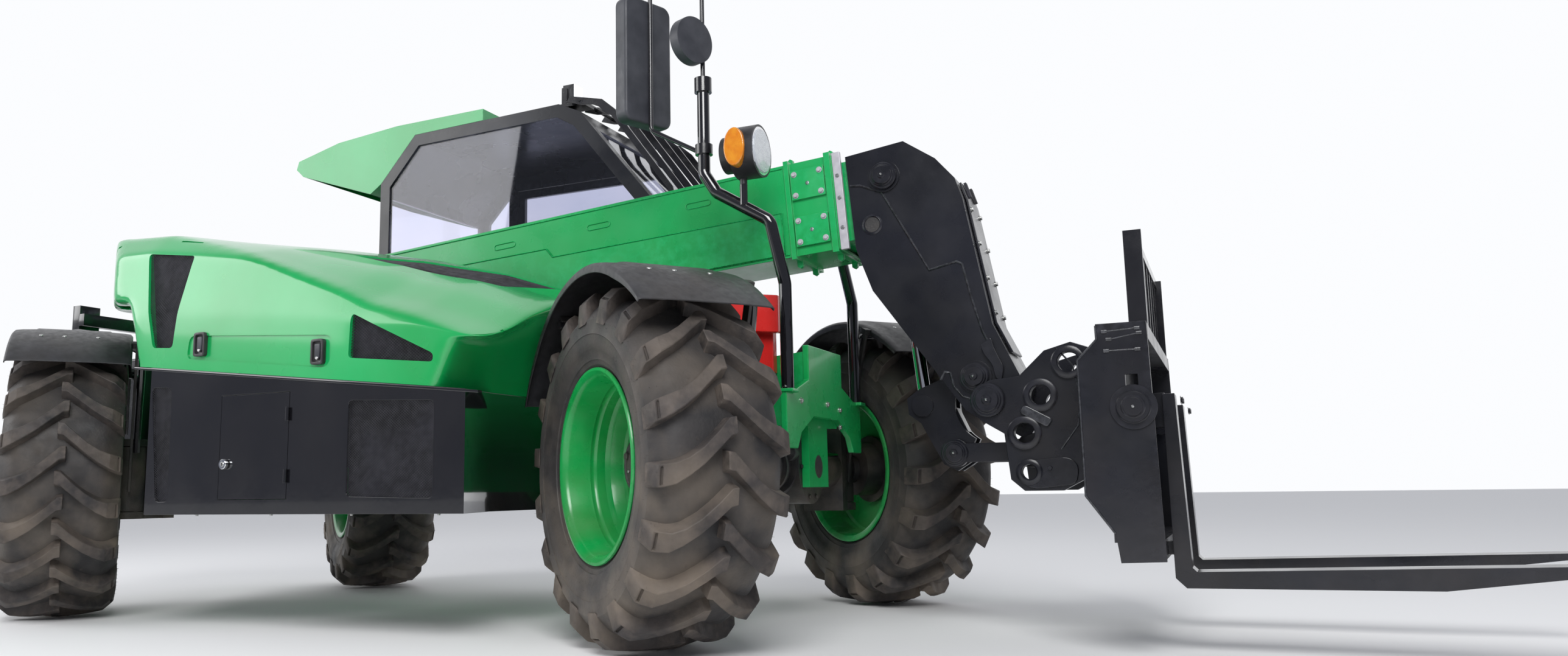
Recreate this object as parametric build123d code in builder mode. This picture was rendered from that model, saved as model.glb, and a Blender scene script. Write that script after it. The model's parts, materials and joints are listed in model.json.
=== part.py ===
from build123d import *
import os
from math import cos, pi, radians, sin, sqrt

# Telescopic handler with a fork carriage, wheels set for crab steering.
# Millimetres. +X forward, +Y left, +Z up. The origin is on the ground, midway between the axles.

# Running gear
WHEELBASE = 3000
KING_Y = 660            # kingpin to the centreline
KING_TO_WHEEL = 250     # kingpin to the middle plane of the tyre
HUB_Z = 603
STEER = -37.5           # every wheel is turned this way in crab steering
TYRE_R = 603
TYRE_HALF = 230
BEAD_R = 305
FLANGE_R = 326
RIM_HALF = 205
DISC_AT = 35            # rim disc, inboard of the middle plane
DISC_WALL = 12
FENDER_R = 670
FENDER_WALL = 5
FENDER_HALF = 235
SPINDLE_R = 60
KINGPIN_R = 35
YOKE_Z = 150            # underside of the upper yoke plate, from the axle's middle
YOKE_WALL = 32
TRUNNION_R = 45
TRUNNION_AT = 120       # axle middle to the near face of its hanger
HANGER_WALL = 30

# Fits
RUN = 0.05              # radial clearance of a shaft in its bore
SEAT = 0.2              # gap between pieces bolted together
GAP = 0.8               # side clearance between pieces that turn

# Chassis
RAIL_Y = 172            # inner face of each rail
RAIL_WALL = 20
RAIL_FRONT = 1665
RAIL_REAR = -1960
BELLY_Z = 520
DECK_Z = 1000
AXLE_ARCH_Z = 760
PLATE_WALL = 25
POST_R = 24
POST_FOOT_Z = 880

# Boom, measured along its own slope from the pivot
PIVOT_X, PIVOT_Z = -1700, 1440
BOOM_SLOPE = 4.2
BOOM_WIDTH = 300
BOOM_TOP = 120
BOOM_DEPTH = 380
BOOM_WALL = 10
BOOM_REAR = -180
BOOM_LENGTH = 3510
PIVOT_R = 45
INNER_WIDTH = 244
INNER_DEPTH = 320
INNER_REAR = 600
INNER_END = 3600
HEAD_HALF = 150
HEAD_WALL = 20
PIN_R = 34

# Lift cylinder
LIFT_BASE = (-1150, 750)
LIFT_EYE = (750, 1275)
LIFT_R = 65
LIFT_ROD_R = 38
# Tilt cylinder and linkage, rest positions in X and Z
TILT_BASE = (2000, 1700)
TILT_EYE = (2090, 820)
ROCKER_AT = (2310, 910)
LINK_LOW = (2210, 640)
HITCH_AT = (2360, 820)
HITCH_LINK = (2450, 640)
TILT_R = 42
TILT_ROD_R = 24

# Fork carriage
CARRIAGE_HALF = 600
CARRIAGE_BACK, CARRIAGE_FRONT = 2775, 2930
SHAFT_AT = (2870, 750)
SHAFT_R = 28
FORK_THICK = 50
FORK_WIDE = 120
FORK_LONG = 1200
FORK_TIP = 12
FORK_TOP = 250
FORK_RISE = 1.8
FORK_NEAR, FORK_FAR = -350, 250

# Engine side
POD_SIDE = -1120
POD_INNER = -330
POD_WALL = 8
POD_BOTTOM = 450
ENGINE_Z = 620

# Cab
CAB_IN, CAB_OUT = 200, 1100
CAB_WALL = 25
CAB_Z = 620
GLASS = 6

os.makedirs("parts", exist_ok=True)


def write(piece, name):
    piece.part.label = name
    export_step(piece.part, f"parts/{name}.step")


def plate(points, low, high, holes=(), grow=0):
    """An outline in X and Z made solid from y = low to y = high, with holes (x, z, radius)."""
    with BuildPart() as made:
        with BuildSketch(Plane.XZ.offset(-high)):
            with BuildLine():
                Polyline(*points, close=True)
            make_face()
            if grow:
                offset(amount=grow, kind=Kind.INTERSECTION, mode=Mode.REPLACE)
            for x, z, radius in holes:
                with Locations((x, z)):
                    Circle(radius, mode=Mode.SUBTRACT)
        extrude(amount=high - low)
    return made.part


def block(low, high):
    """A box between two corners."""
    with BuildPart() as made:
        with Locations(tuple((a + b) / 2 for a, b in zip(low, high))):
            Box(*[b - a for a, b in zip(low, high)])
    return made.part


def shaft(at, low, high, radius):
    """A round bar across the machine at (x, z), from y = low to y = high."""
    with BuildPart() as made:
        with BuildSketch(Plane.XZ.offset(-high)):
            with Locations(at):
                Circle(radius)
        extrude(amount=high - low)
    return made.part


def bar(start, end, radius):
    """A round bar between two points."""
    run = Vector(*end) - Vector(*start)
    with BuildPart() as made:
        with BuildSketch(Plane(origin=start, z_dir=run)):
            Circle(radius)
        extrude(amount=run.length)
    return made.part


def tube(points, radius, bend):
    """A round tube along straight runs joined by bends."""
    with BuildPart() as made:
        with BuildLine() as path:
            FilletPolyline(*points, radius=bend)
        with BuildSketch(Plane(origin=path.line @ 0, z_dir=path.line % 0)):
            Circle(radius)
        sweep()
    return made.part


def on_boom(u, v):
    """The place in X and Z of a point u along the boom and v above its pivot."""
    c, s = cos(radians(BOOM_SLOPE)), sin(radians(BOOM_SLOPE))
    return PIVOT_X + u * c - v * s, PIVOT_Z + u * s + v * c


def boom_box(u0, u1, v0, v1, half):
    """A box lined up with the boom, centred across the machine."""
    return plate([on_boom(u0, v0), on_boom(u1, v0), on_boom(u1, v1), on_boom(u0, v1)], -half, half)


# ---------------------------------------------------------------- wheels
# Built about the right-hand kingpin: y = 0 is the kingpin, -y is outboard and z = 0 is the hub.
MIDDLE = -KING_TO_WHEEL
HUB_INNER = -88         # inboard end of the hub drum

with BuildPart() as tyre:
    half_outline = [(183, BEAD_R + SEAT), (192, FLANGE_R + 2), (205, 342), (228, 420), (TYRE_HALF, 480), (222, 550), (185, 588)]
    inner_outline = [(0, 555), (150, 548), (190, 520), (200, 460), (196, 400), (172, 345), (165, BEAD_R + SEAT)]
    with BuildSketch(Plane.YZ):
        with BuildLine():
            right = [(MIDDLE + y, r) for y, r in inner_outline]
            outer = [(MIDDLE + y, r) for y, r in half_outline]
            Polyline(*right, *outer, (MIDDLE, TYRE_R), close=True)
        make_face()
        mirror(about=Plane(origin=(MIDDLE, 0, 0), z_dir=(1, 0, 0)))
    revolve(axis=Axis.Y)

with BuildPart() as rim:
    # rim barrel and disc
    half_barrel = [(0, BEAD_R), (186, BEAD_R), (195, FLANGE_R), (RIM_HALF, FLANGE_R), (RIM_HALF, 314), (192, 293)]
    with BuildSketch(Plane.YZ):
        with BuildLine():
            outboard = [(MIDDLE - y, r) for y, r in reversed(half_barrel)]
            inboard = [(MIDDLE + y, r) for y, r in half_barrel]
            Polyline(*outboard, *inboard[1:], (MIDDLE + DISC_AT + DISC_WALL, 293),
                     (MIDDLE + DISC_AT + DISC_WALL, 112), (MIDDLE + DISC_AT, 112),
                     (MIDDLE + DISC_AT, 293), close=True)
        make_face()
    revolve(axis=Axis.Y)
    # hub drum, turning on the spindle
    with BuildSketch(Plane.YZ):
        flange = MIDDLE + DISC_AT + DISC_WALL + SEAT
        with BuildLine():
            Polyline((flange, 0), (flange, 108), (MIDDLE + DISC_AT - 70, 104), (MIDDLE + DISC_AT - 90, 80),
                     (MIDDLE + DISC_AT - 95, 0), close=True)
        make_face()
        with BuildLine():
            Polyline((flange, 0), (flange, 150), (flange + 22, 150), (flange + 22, 120),
                     (HUB_INNER, 120), (HUB_INNER, SPINDLE_R + RUN), (flange + 25, SPINDLE_R + RUN),
                     (flange + 25, 0), close=True)
        make_face()
    revolve(axis=Axis.Y)
    # wheel nuts
    with BuildSketch(Plane.XZ.offset(-(MIDDLE + DISC_AT - SEAT))):
        with PolarLocations(130, 10):
            RegularPolygon(14, 6)
    extrude(amount=22)

with BuildPart() as knuckle:
    Cylinder(74, 2 * (YOKE_Z - 2))
    Cylinder(KINGPIN_R, 2 * (YOKE_Z + YOKE_WALL))
    add(shaft((0, 0), MIDDLE + DISC_AT + DISC_WALL + 27, -60, SPINDLE_R))
    # fender bracket, a plate beside the tyre and two bars under the fender
    arms = [(-110, -60), (110, -60), (140, 130), (283, 585), (245, 600), (104, 140),
            (-104, 140), (-355, 545), (-390, 515), (-140, 130)]
    add(plate(arms, 2, 14))
    for angle in (66, 125):
        with BuildSketch(Plane(origin=(0, 14, 0), x_dir=(cos(radians(angle)), 0, sin(radians(angle))),
                               z_dir=(0, -1, 0))):
            with Locations((FENDER_R - FENDER_WALL - SEAT - 13, 0)):
                Rectangle(25, 34)
        extrude(amount=450)

with BuildPart() as fender:
    with BuildSketch(Plane.XZ.offset(-(MIDDLE + FENDER_HALF))):
        Circle(FENDER_R)
        Circle(FENDER_R - FENDER_WALL, mode=Mode.SUBTRACT)
        with BuildLine():
            reach = 3 * FENDER_R
            sector = [(reach * cos(radians(a)), reach * sin(radians(a))) for a in (48, 84, 120, 158)]
            Polyline((0, 0), *sector, close=True)
        make_face(mode=Mode.INTERSECT)
    extrude(amount=2 * FENDER_HALF)

for end, axle_x in (("front", WHEELBASE / 2), ("rear", -WHEELBASE / 2)):
    for side, hand in (("right", 1), ("left", -1)):
        corner = Location((axle_x, -hand * KING_Y, HUB_Z), (0, 0, STEER))
        for name, piece in (("tyre", tyre), ("rim", rim), ("knuckle", knuckle), ("fender", fender)):
            with BuildPart() as placed:
                add(piece.part if hand == 1 else piece.part.mirror(Plane.XZ))
            placed.part.move(corner)
            write(placed, f"{name}_{end}_{side}")

for end, axle_x in (("front", WHEELBASE / 2), ("rear", -WHEELBASE / 2)):
    with BuildPart() as axle:
        add(shaft((0, 0), -KING_Y + 150, KING_Y - 150, 90))
        add(shaft((0, 0), -150, 150, 112))
        add(bar((-TRUNNION_AT + GAP, 0, 0), (TRUNNION_AT - GAP, 0, 0), 145))
        add(bar((-TRUNNION_AT - HANGER_WALL, 0, 0), (TRUNNION_AT + HANGER_WALL, 0, 0), TRUNNION_R))
        for hand in (1, -1):
            add(block((-90, min(hand * (KING_Y - 190), hand * (KING_Y - 130)), -YOKE_Z - YOKE_WALL),
                      (90, max(hand * (KING_Y - 190), hand * (KING_Y - 130)), YOKE_Z + YOKE_WALL)))
            for z in (YOKE_Z, -YOKE_Z - YOKE_WALL):
                with BuildSketch(Plane.XY.offset(z)):
                    with Locations((0, hand * KING_Y)):
                        Circle(82)
                    with Locations((0, hand * (KING_Y - 95))):
                        Rectangle(128, 190)
                    with Locations((0, hand * KING_Y)):
                        Circle(KINGPIN_R + RUN, mode=Mode.SUBTRACT)
                extrude(amount=YOKE_WALL)
    axle.part.move(Location((axle_x, 0, HUB_Z)))
    write(axle, f"{end}_axle")

# ---------------------------------------------------------------- chassis
rail_outline = [
    (RAIL_FRONT, AXLE_ARCH_Z), (1130, AXLE_ARCH_Z), (1000, BELLY_Z), (-1000, BELLY_Z), (-1130, AXLE_ARCH_Z),
    (RAIL_REAR, AXLE_ARCH_Z), (RAIL_REAR, 1250), (-1830, PIVOT_Z + 110), (-1570, PIVOT_Z + 110),
    (-1400, 1250), (-1150, DECK_Z), (1200, DECK_Z), (RAIL_FRONT, 1040)]
pivot_hole = (PIVOT_X, PIVOT_Z, PIVOT_R + SEAT)
with BuildPart() as chassis_frame:
    for low, high in ((RAIL_Y, RAIL_Y + RAIL_WALL), (-RAIL_Y - RAIL_WALL, -RAIL_Y)):
        add(plate(rail_outline, low, high, [pivot_hole]))
    add(block((-1000, -RAIL_Y - 1, BELLY_Z), (1000, RAIL_Y + 1, BELLY_Z + 12)))
    add(block((RAIL_REAR, -RAIL_Y - 1, AXLE_ARCH_Z), (RAIL_REAR + 20, RAIL_Y + 1, 1240)))
    add(block((RAIL_FRONT - 20, -RAIL_Y - 1, 830), (RAIL_FRONT, RAIL_Y + 1, 1035)))
    add(block((-330, -RAIL_Y - 1, BELLY_Z + 10), (-310, RAIL_Y + 1, 700)))
    add(block((980, -RAIL_Y - 1, BELLY_Z), (1000, RAIL_Y + 1, 900)))
    # axle hangers
    for axle_x in (WHEELBASE / 2, -WHEELBASE / 2):
        for low in (axle_x - TRUNNION_AT - HANGER_WALL, axle_x + TRUNNION_AT):
            hanger = block((low, -RAIL_Y - 1, AXLE_ARCH_Z), (low + HANGER_WALL, RAIL_Y + 1, AXLE_ARCH_Z + 90))
            ear = block((low, -110, HUB_Z - 80), (low + HANGER_WALL, 110, AXLE_ARCH_Z + 10))
            add([hanger, ear])
            with BuildSketch(Plane.YZ.offset(low)):
                with Locations((0, HUB_Z)):
                    Circle(TRUNNION_R + RUN)
            extrude(amount=HANGER_WALL, mode=Mode.SUBTRACT)
    # lift cylinder's base lugs
    for low, high in ((45 + GAP, RAIL_Y + 1), (-RAIL_Y - 1, -45 - GAP)):
        add(shaft(LIFT_BASE, low, high, 60))
    # outrigger beams to the engine side and the cab
    for x in (-480, 40):
        add(block((x, -1000, POD_BOTTOM + POD_WALL + SEAT), (x + 60, -RAIL_Y - RAIL_WALL + 1, ENGINE_Z - SEAT)))
    for x in (-560, 480):
        add(block((x, RAIL_Y + RAIL_WALL - 1, 530), (x + 60, 1050, CAB_Z - SEAT)))
    # boom pivot pin, with its caps outside the rails
    add(shaft((PIVOT_X, PIVOT_Z), -RAIL_Y - RAIL_WALL - 18, RAIL_Y + RAIL_WALL + 18, PIVOT_R))
write(chassis_frame, "chassis_frame")

with BuildPart() as front_plate:
    top = RAIL_Y + RAIL_WALL + 5
    half = [(top, 1065), (top, 930), (350, POST_FOOT_Z), (440, POST_FOOT_Z), (440, 665), (330, 665), (290, 725), (150, 790)]
    with BuildSketch(Plane.YZ.offset(RAIL_FRONT + SEAT)):
        with BuildLine():
            Polyline(*half, *[(-y, z) for y, z in reversed(half)], close=True)
        make_face()
    extrude(amount=PLATE_WALL)
    for y in (410, -410):
        add(block((RAIL_FRONT - 15, y - 32, POST_FOOT_Z - 14), (RAIL_FRONT + 50, y + 32, POST_FOOT_Z)))
write(front_plate, "front_plate")

POST_X = RAIL_FRONT + 17
POST_Y = 405
MIRROR_X, MIRROR_Y = 1380, -450
POST_TOP = 2090
LAMP = (1545, MIRROR_Y - 5, 1775)
with BuildPart() as guard_posts:
    add(tube([(POST_X, -POST_Y, POST_FOOT_Z + SEAT), (POST_X, -POST_Y, 1270), (1640, -435, 1510), (1430, MIRROR_Y, 1640),
              (MIRROR_X, MIRROR_Y, 1720), (MIRROR_X, MIRROR_Y, POST_TOP)], POST_R, 50))
    add(bar((LAMP[0], LAMP[1], 1575), (LAMP[0], LAMP[1], LAMP[2] - 120 - SEAT), 15))
    add(tube([(POST_X, POST_Y, POST_FOOT_Z + SEAT), (POST_X, POST_Y, 1310), (1640, 425, 1490)], POST_R, 60))
write(guard_posts, "guard_posts")

with BuildPart() as boom_strut:
    strut_low = RAIL_Y + RAIL_WALL + SEAT
    outline = [(1200, 1150), (1600, 1110), (1600, 1255), (1210, 1305)]
    add(plate(outline, -strut_low - 85, -strut_low - 40))
    add(plate([(1230, 960), (1560, 960), (1560, 1220), (1230, 1250)], -strut_low - 40, -strut_low))
write(boom_strut, "boom_strut")

with BuildPart() as engine_block:
    add(block((-560, -900, ENGINE_Z), (160, -420, 1080)))
    add(block((-480, -780, 1080), (80, -520, 1240)))
write(engine_block, "engine_block")

with BuildPart() as counterweight:
    add(block((-2260, -265, 640), (RAIL_REAR - SEAT, 265, 1240)))
    chamfer(counterweight.edges().filter_by(Axis.Y).group_by(Axis.X)[0], 90)
write(counterweight, "counterweight")

LAMP_BAR_Z = 1370
LAMP_BAR_HALF = 590
LAMP_Y = 530            # middle of each rear lamp
with BuildPart() as rear_lamps:
    add(block((RAIL_REAR - 60, -LAMP_BAR_HALF, LAMP_BAR_Z), (RAIL_REAR - 20, LAMP_BAR_HALF, LAMP_BAR_Z + 60)))
    for y in (-180, 140):
        add(block((RAIL_REAR - 40, y, 1240 + SEAT), (RAIL_REAR - 22, y + 40, LAMP_BAR_Z + 10)))
    for y in (-LAMP_Y, LAMP_Y):
        add(block((RAIL_REAR - 62 - 50, y - 55, LAMP_BAR_Z - 15), (RAIL_REAR - 60 - SEAT, y + 55, LAMP_BAR_Z + 105)))
write(rear_lamps, "rear_lamps")

# ---------------------------------------------------------------- engine side
SPLIT_SLOPE = -0.1047


def split_z(x):
    """Height of the joint between the lower box and the hood."""
    return 1050 + (x + 900) * SPLIT_SLOPE


def engine_side(profile, plan, crown, inset):
    """A closed form from its side, plan and end outlines, each drawn in by inset."""
    with BuildPart() as made:
        with BuildSketch(Plane.XZ.offset(-POD_INNER)):
            with BuildLine():
                Polyline(*profile, close=True)
            make_face()
            if inset:
                offset(amount=-inset, kind=Kind.INTERSECTION, mode=Mode.REPLACE)
        extrude(amount=POD_INNER - POD_SIDE + 50, both=True)
        with BuildSketch(Plane.XY.offset(300)):
            with BuildLine():
                Polyline(*plan, close=True)
            make_face()
            if inset:
                offset(amount=-inset, kind=Kind.INTERSECTION, mode=Mode.REPLACE)
        extrude(amount=1600, mode=Mode.INTERSECT)
        with BuildSketch(Plane.YZ.offset(-1600)):
            with BuildLine():
                Polyline(*crown, close=True)
            make_face()
            if inset:
                offset(amount=-inset, kind=Kind.INTERSECTION, mode=Mode.REPLACE)
        extrude(amount=2800, mode=Mode.INTERSECT)
    return made.part


pod_plan = [(-795, POD_SIDE), (775, POD_SIDE), (650, -800), (640, POD_INNER), (-640, POD_INNER), (-650, -800)]
pod_profile = [(-900, POD_BOTTOM), (900, POD_BOTTOM), (900, split_z(900)), (-900, split_z(-900))]
pod_crown = [(POD_SIDE, 300), (POD_INNER, 300), (POD_INNER, 1400), (POD_SIDE, 1400)]
DOOR_X = (-390, -35)
DOOR_Z = (505, 905)
with BuildPart() as service_box:
    add(engine_side(pod_profile, pod_plan, pod_crown, 0))
    hollow_profile = [(x, z + (200 if z > 600 else 0)) for x, z in pod_profile]
    add(engine_side(hollow_profile, pod_plan, pod_crown, POD_WALL), mode=Mode.SUBTRACT)
    add(block((DOOR_X[0], POD_SIDE - 1, DOOR_Z[0]), (DOOR_X[1], POD_SIDE + POD_WALL + 1, DOOR_Z[1])),
        mode=Mode.SUBTRACT)
    # inner wall opens for the frame and the outriggers
    add(block((-600, POD_INNER - 30, POD_BOTTOM + POD_WALL), (600, POD_INNER + 30, 900)), mode=Mode.SUBTRACT)
write(service_box, "service_box")

hood_plan = [(-900, POD_SIDE), (-1080, -1100), (-1430, -830), (-1440, POD_INNER), (890, POD_INNER), (890, -800),
             (830, -1080), (775, POD_SIDE)]
hood_profile = [(-890, split_z(-890)), (-985, 1345), (-1440, 1365), (-1440, 1690), (-880, 1655), (-360, 1575),
                (200, 1480), (690, 1400), (860, 1365), (885, 1300), (835, 1220), (765, 1120), (690, 1000),
                (645, split_z(645))]
lifted = [(x, z + 0.3) for x, z in hood_profile]
hood_crown = [(POD_SIDE, 800), (POD_SIDE, 1280), (-1075, 1560), (-940, 1700), (POD_INNER, 1760),
              (POD_INNER, 800)]
rear_arch = [(-1600, 900), (-780, 900), (-800, 1150), (-960, 1345), (-1600, 1345)]
with BuildPart() as hood:
    add(engine_side(lifted, hood_plan, hood_crown, 0))
    hollow = [(x, z - 60) if z < 1100 else (x, z) for x, z in lifted]
    add(engine_side(hollow, hood_plan, hood_crown, POD_WALL), mode=Mode.SUBTRACT)
    add(plate(rear_arch, -1010, POD_INNER + 1), mode=Mode.SUBTRACT)
    # the side towards the boom stays open
    add(block((-1500, POD_INNER - POD_WALL - 1, 800), (1000, POD_INNER + 1, 1800)), mode=Mode.SUBTRACT)
write(hood, "hood")

with BuildPart() as service_door:
    add(block((DOOR_X[0] + 2, POD_SIDE, DOOR_Z[0] + 2), (DOOR_X[1] - 2, POD_SIDE + 4, DOOR_Z[1] - 2)))
    for z in (590, 820):
        add(block((DOOR_X[1] - 8, POD_SIDE - 12, z - 25), (DOOR_X[1] - 2, POD_SIDE + 1, z + 25)))
        add(bar((DOOR_X[1] - 2, POD_SIDE - 7.5, z - 25), (DOOR_X[1] - 2, POD_SIDE - 7.5, z + 25), 7))
    add(shaft((DOOR_X[0] + 35, 640), POD_SIDE - 6, POD_SIDE + 1, 17))
write(service_door, "service_door")

LATCHES = (("hood_latch_rear", -520, 1115), ("hood_latch_front", 100, 1045))
for name, x, z in LATCHES:
    with BuildPart() as latch:
        add(block((x - 30, POD_SIDE - 14, z - 45), (x + 30, POD_SIDE - SEAT, z + 45)))
        fillet(latch.edges().filter_by(Axis.Y), 12)
    write(latch, name)

# ---------------------------------------------------------------- cab
cab_outline = [(-620, CAB_Z), (600, CAB_Z), (620, 1100), (860, 1340), (880, 1500), (800, 1860), (420, 2330), (300, 2385),
               (-580, 2365), (-800, 2130), (-800, 1320), (-620, 1100)]
side_window = [(-740, 1420), (770, 1420), (800, 1500), (735, 1835), (385, 2265), (290, 2320), (-555, 2305), (-740, 2105)]
door_outline = [(-540, 690), (540, 690), (560, 1125), (785, 1360), (800, 1500), (735, 1835), (385, 2265), (-540, 2265)]
door_window = [(-490, 1240), (600, 1240), (738, 1380), (748, 1500), (690, 1815), (362, 2215), (-490, 2215)]
quarter_window = [(-745, 1420), (-600, 1420), (-600, 2240), (-745, 2090)]
WINDSCREEN = (1370, 2235)
REAR_WINDOW = (1420, 2060)
HINGE = (-545, CAB_OUT + 10)
DOOR_HINGE_Z = (980, 1980)
with BuildPart() as cab_frame:
    add(plate(cab_outline, CAB_IN, CAB_OUT))
    add(plate(cab_outline, CAB_IN + CAB_WALL, CAB_OUT - CAB_WALL, grow=-CAB_WALL), mode=Mode.SUBTRACT)
    add(plate(side_window, CAB_IN - 1, CAB_IN + CAB_WALL + 1), mode=Mode.SUBTRACT)
    add(plate(door_outline, CAB_OUT - CAB_WALL - 1, CAB_OUT + 1), mode=Mode.SUBTRACT)
    add(plate(quarter_window, CAB_OUT - CAB_WALL - 1, CAB_OUT + 1), mode=Mode.SUBTRACT)
    add(block((450, CAB_IN + 60, WINDSCREEN[0]), (950, CAB_OUT - 60, WINDSCREEN[1])), mode=Mode.SUBTRACT)
    add(block((-900, CAB_IN + 60, REAR_WINDOW[0]), (-760, CAB_OUT - 60, REAR_WINDOW[1])), mode=Mode.SUBTRACT)
    # lower half of each door hinge, with its pin
    for z in DOOR_HINGE_Z:
        add(block((-610, CAB_OUT - 1, z - 30), (HINGE[0], CAB_OUT + 5, z)))
        add(bar((*HINGE, z - 30), (*HINGE, z), 9))
        add(bar((*HINGE, z - 1), (*HINGE, z + 24), 4))
write(cab_frame, "cab_frame")

cab_skin = plate(cab_outline, CAB_IN + 60 + SEAT, CAB_OUT - 60 - SEAT, grow=-8)
cab_core = plate(cab_outline, CAB_IN, CAB_OUT, grow=-8 - GLASS)
with BuildPart() as cab_glass:
    add(cab_skin)
    add(cab_core, mode=Mode.SUBTRACT)
    screens = [block((451, CAB_IN, WINDSCREEN[0] + SEAT), (950, CAB_OUT, WINDSCREEN[1] - SEAT)),
               block((-900, CAB_IN, REAR_WINDOW[0] + SEAT), (-761, CAB_OUT, REAR_WINDOW[1] - SEAT))]
    add(screens, mode=Mode.INTERSECT)
    add(plate(side_window, CAB_IN + 9, CAB_IN + 9 + GLASS, grow=-SEAT))
    add(plate(quarter_window, CAB_OUT - 9 - GLASS, CAB_OUT - 9, grow=-SEAT))
write(cab_glass, "cab_glass")

with BuildPart() as cab_door:
    add(plate(door_outline, CAB_OUT - CAB_WALL, CAB_OUT, grow=-4))
    add(plate(door_window, CAB_OUT - CAB_WALL - 1, CAB_OUT + 1), mode=Mode.SUBTRACT)
    add(block((480, CAB_OUT - 1, 1130), (500, CAB_OUT + 30, 1210)))
    for z in DOOR_HINGE_Z:
        add(block((HINGE[0], CAB_OUT + SEAT, z + SEAT), (-490, CAB_OUT + 5, z + 30)))
        add(block((-536, CAB_OUT - 1, z + SEAT), (-490, CAB_OUT + 1, z + 30)))
        add(bar((*HINGE, z + SEAT), (*HINGE, z + 30), 9))
        add(bar((*HINGE, z), (*HINGE, z + 24 + SEAT), 4 + RUN), mode=Mode.SUBTRACT)
write(cab_door, "cab_door")

with BuildPart() as door_glass:
    add(plate(door_window, CAB_OUT - 16, CAB_OUT - 16 + GLASS, grow=-SEAT))
write(door_glass, "door_glass")

roof_outline = [(-150, 2375.5), (-580, 2365.5), (-800.5, 2130), (-870, 2085), (-1350, 2245), (-1400, 2290), (-1385, 2335),
                (-1100, 2400), (-700, 2432), (-150, 2436)]
with BuildPart() as roof_cap:
    add(plate(roof_outline, CAB_IN, CAB_OUT))
    roof_hollow = [(x, z - 9) for x, z in roof_outline]
    add(plate(roof_hollow, CAB_IN + 8, CAB_OUT - 8, grow=-8), mode=Mode.SUBTRACT)
write(roof_cap, "roof_cap")

GUARD_BARS = 6
LAMP_TILT = (300, 2462)
WORK_LAMP_Y = (CAB_IN + 60, CAB_OUT - 140)
guard_outline = [(330, 2398), (350, 2425), (530, 2380), (600, 2320), (905, 1900), (915, 1850), (895, 1850),
                 (880, 1890), (580, 2290), (505, 2350), (470, 2365), (400, 2375)]
with BuildPart() as roof_guard:
    pitch = (CAB_OUT - CAB_IN - 60) / (GUARD_BARS - 1)
    for n in range(GUARD_BARS):
        y = CAB_IN + 24 + n * pitch
        add(plate(guard_outline, y, y + 10))
    add(bar((400, CAB_IN + 20, 2399), (400, CAB_OUT - 30, 2399), 11))
    add(bar((904, CAB_IN + 20, 1866), (904, CAB_OUT - 30, 1866), 10))
    # feet, with an ear each side of every work lamp
    for y in WORK_LAMP_Y:
        add(block((270, y - 10, 2385 + SEAT), (410, y + 90, 2402)))
        for low in (y - 9, y + 80 + GAP):
            ear = [(285, 2400), (315, 2400), (315, 2480), (285, 2480)]
            add(plate(ear, low, low + 8, [(*LAMP_TILT, 6 + RUN)]))
write(roof_guard, "roof_guard")

with BuildPart() as work_lamps:
    for y in WORK_LAMP_Y:
        add(block((LAMP_TILT[0] - 12, y, 2425), (LAMP_TILT[0] + 50, y + 80, 2500)))
        add(shaft(LAMP_TILT, y - 9, y + 89, 6))
write(work_lamps, "work_lamps")

SEAT_X, SEAT_Y = -290, 650
with BuildPart() as seat:
    add(block((SEAT_X - 250, SEAT_Y - 240, 1040), (SEAT_X + 250, SEAT_Y + 240, 1150)))
    back = [(-250, 1150), (-130, 1150), (-230, 1820), (-330, 1820)]
    add(plate([(SEAT_X + x, z) for x, z in back], SEAT_Y - 220, SEAT_Y + 220))
    add(block((SEAT_X - 150, SEAT_Y - 140, CAB_Z + CAB_WALL + SEAT), (SEAT_X + 150, SEAT_Y + 140, 1041)))
write(seat, "seat")

COLUMN_TOP = (330, 650, 1440)
COLUMN_FOOT = (470, 650, 1050)
with BuildPart() as dash_console:
    floor = CAB_Z + CAB_WALL + SEAT
    add(plate([(430, floor), (560, floor), (585, 1115), (700, 1230), (700, 1330), (560, 1330), (430, 1100)],
              CAB_IN + 60, CAB_OUT - 60))
    add(bar(COLUMN_FOOT, COLUMN_TOP, 30))
    add(block((-560, 245, floor), (-60, 380, 1120)))
write(dash_console, "dash_console")

column_run = Vector(*COLUMN_TOP) - Vector(*COLUMN_FOOT)
column_axis = column_run.normalized()
wheel_plane = Plane(origin=Vector(*COLUMN_TOP) + column_axis * 30, z_dir=column_axis)
with BuildPart() as steering_wheel:
    with BuildSketch(Plane(origin=wheel_plane.origin, x_dir=wheel_plane.x_dir, z_dir=wheel_plane.y_dir)):
        with Locations((180, 0)):
            Circle(14)
    revolve(axis=Axis(wheel_plane.origin, column_axis))
    with BuildSketch(wheel_plane.offset(-10)):
        Circle(45)
        for angle in (90, 210, 330):
            with Locations(Location((0, 0, 0), (0, 0, angle))):
                with Locations((95, 0)):
                    Rectangle(150, 26)
    extrude(amount=16)
    with BuildSketch(wheel_plane.offset(-30 + SEAT)):
        Circle(24)
    extrude(amount=22)
write(steering_wheel, "steering_wheel")

STICK_BALL = 12
STICK_AT = (-150, 312, 1120 + SEAT + STICK_BALL)
with BuildPart() as joystick:
    with Locations(STICK_AT):
        Sphere(STICK_BALL)
    add(bar(STICK_AT, (STICK_AT[0] + 30, STICK_AT[1], STICK_AT[2] + 130), 9))
    add(bar((STICK_AT[0] + 26, STICK_AT[1], STICK_AT[2] + 110), (STICK_AT[0] + 50, STICK_AT[1], STICK_AT[2] + 215), 22))
write(joystick, "joystick")

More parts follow.
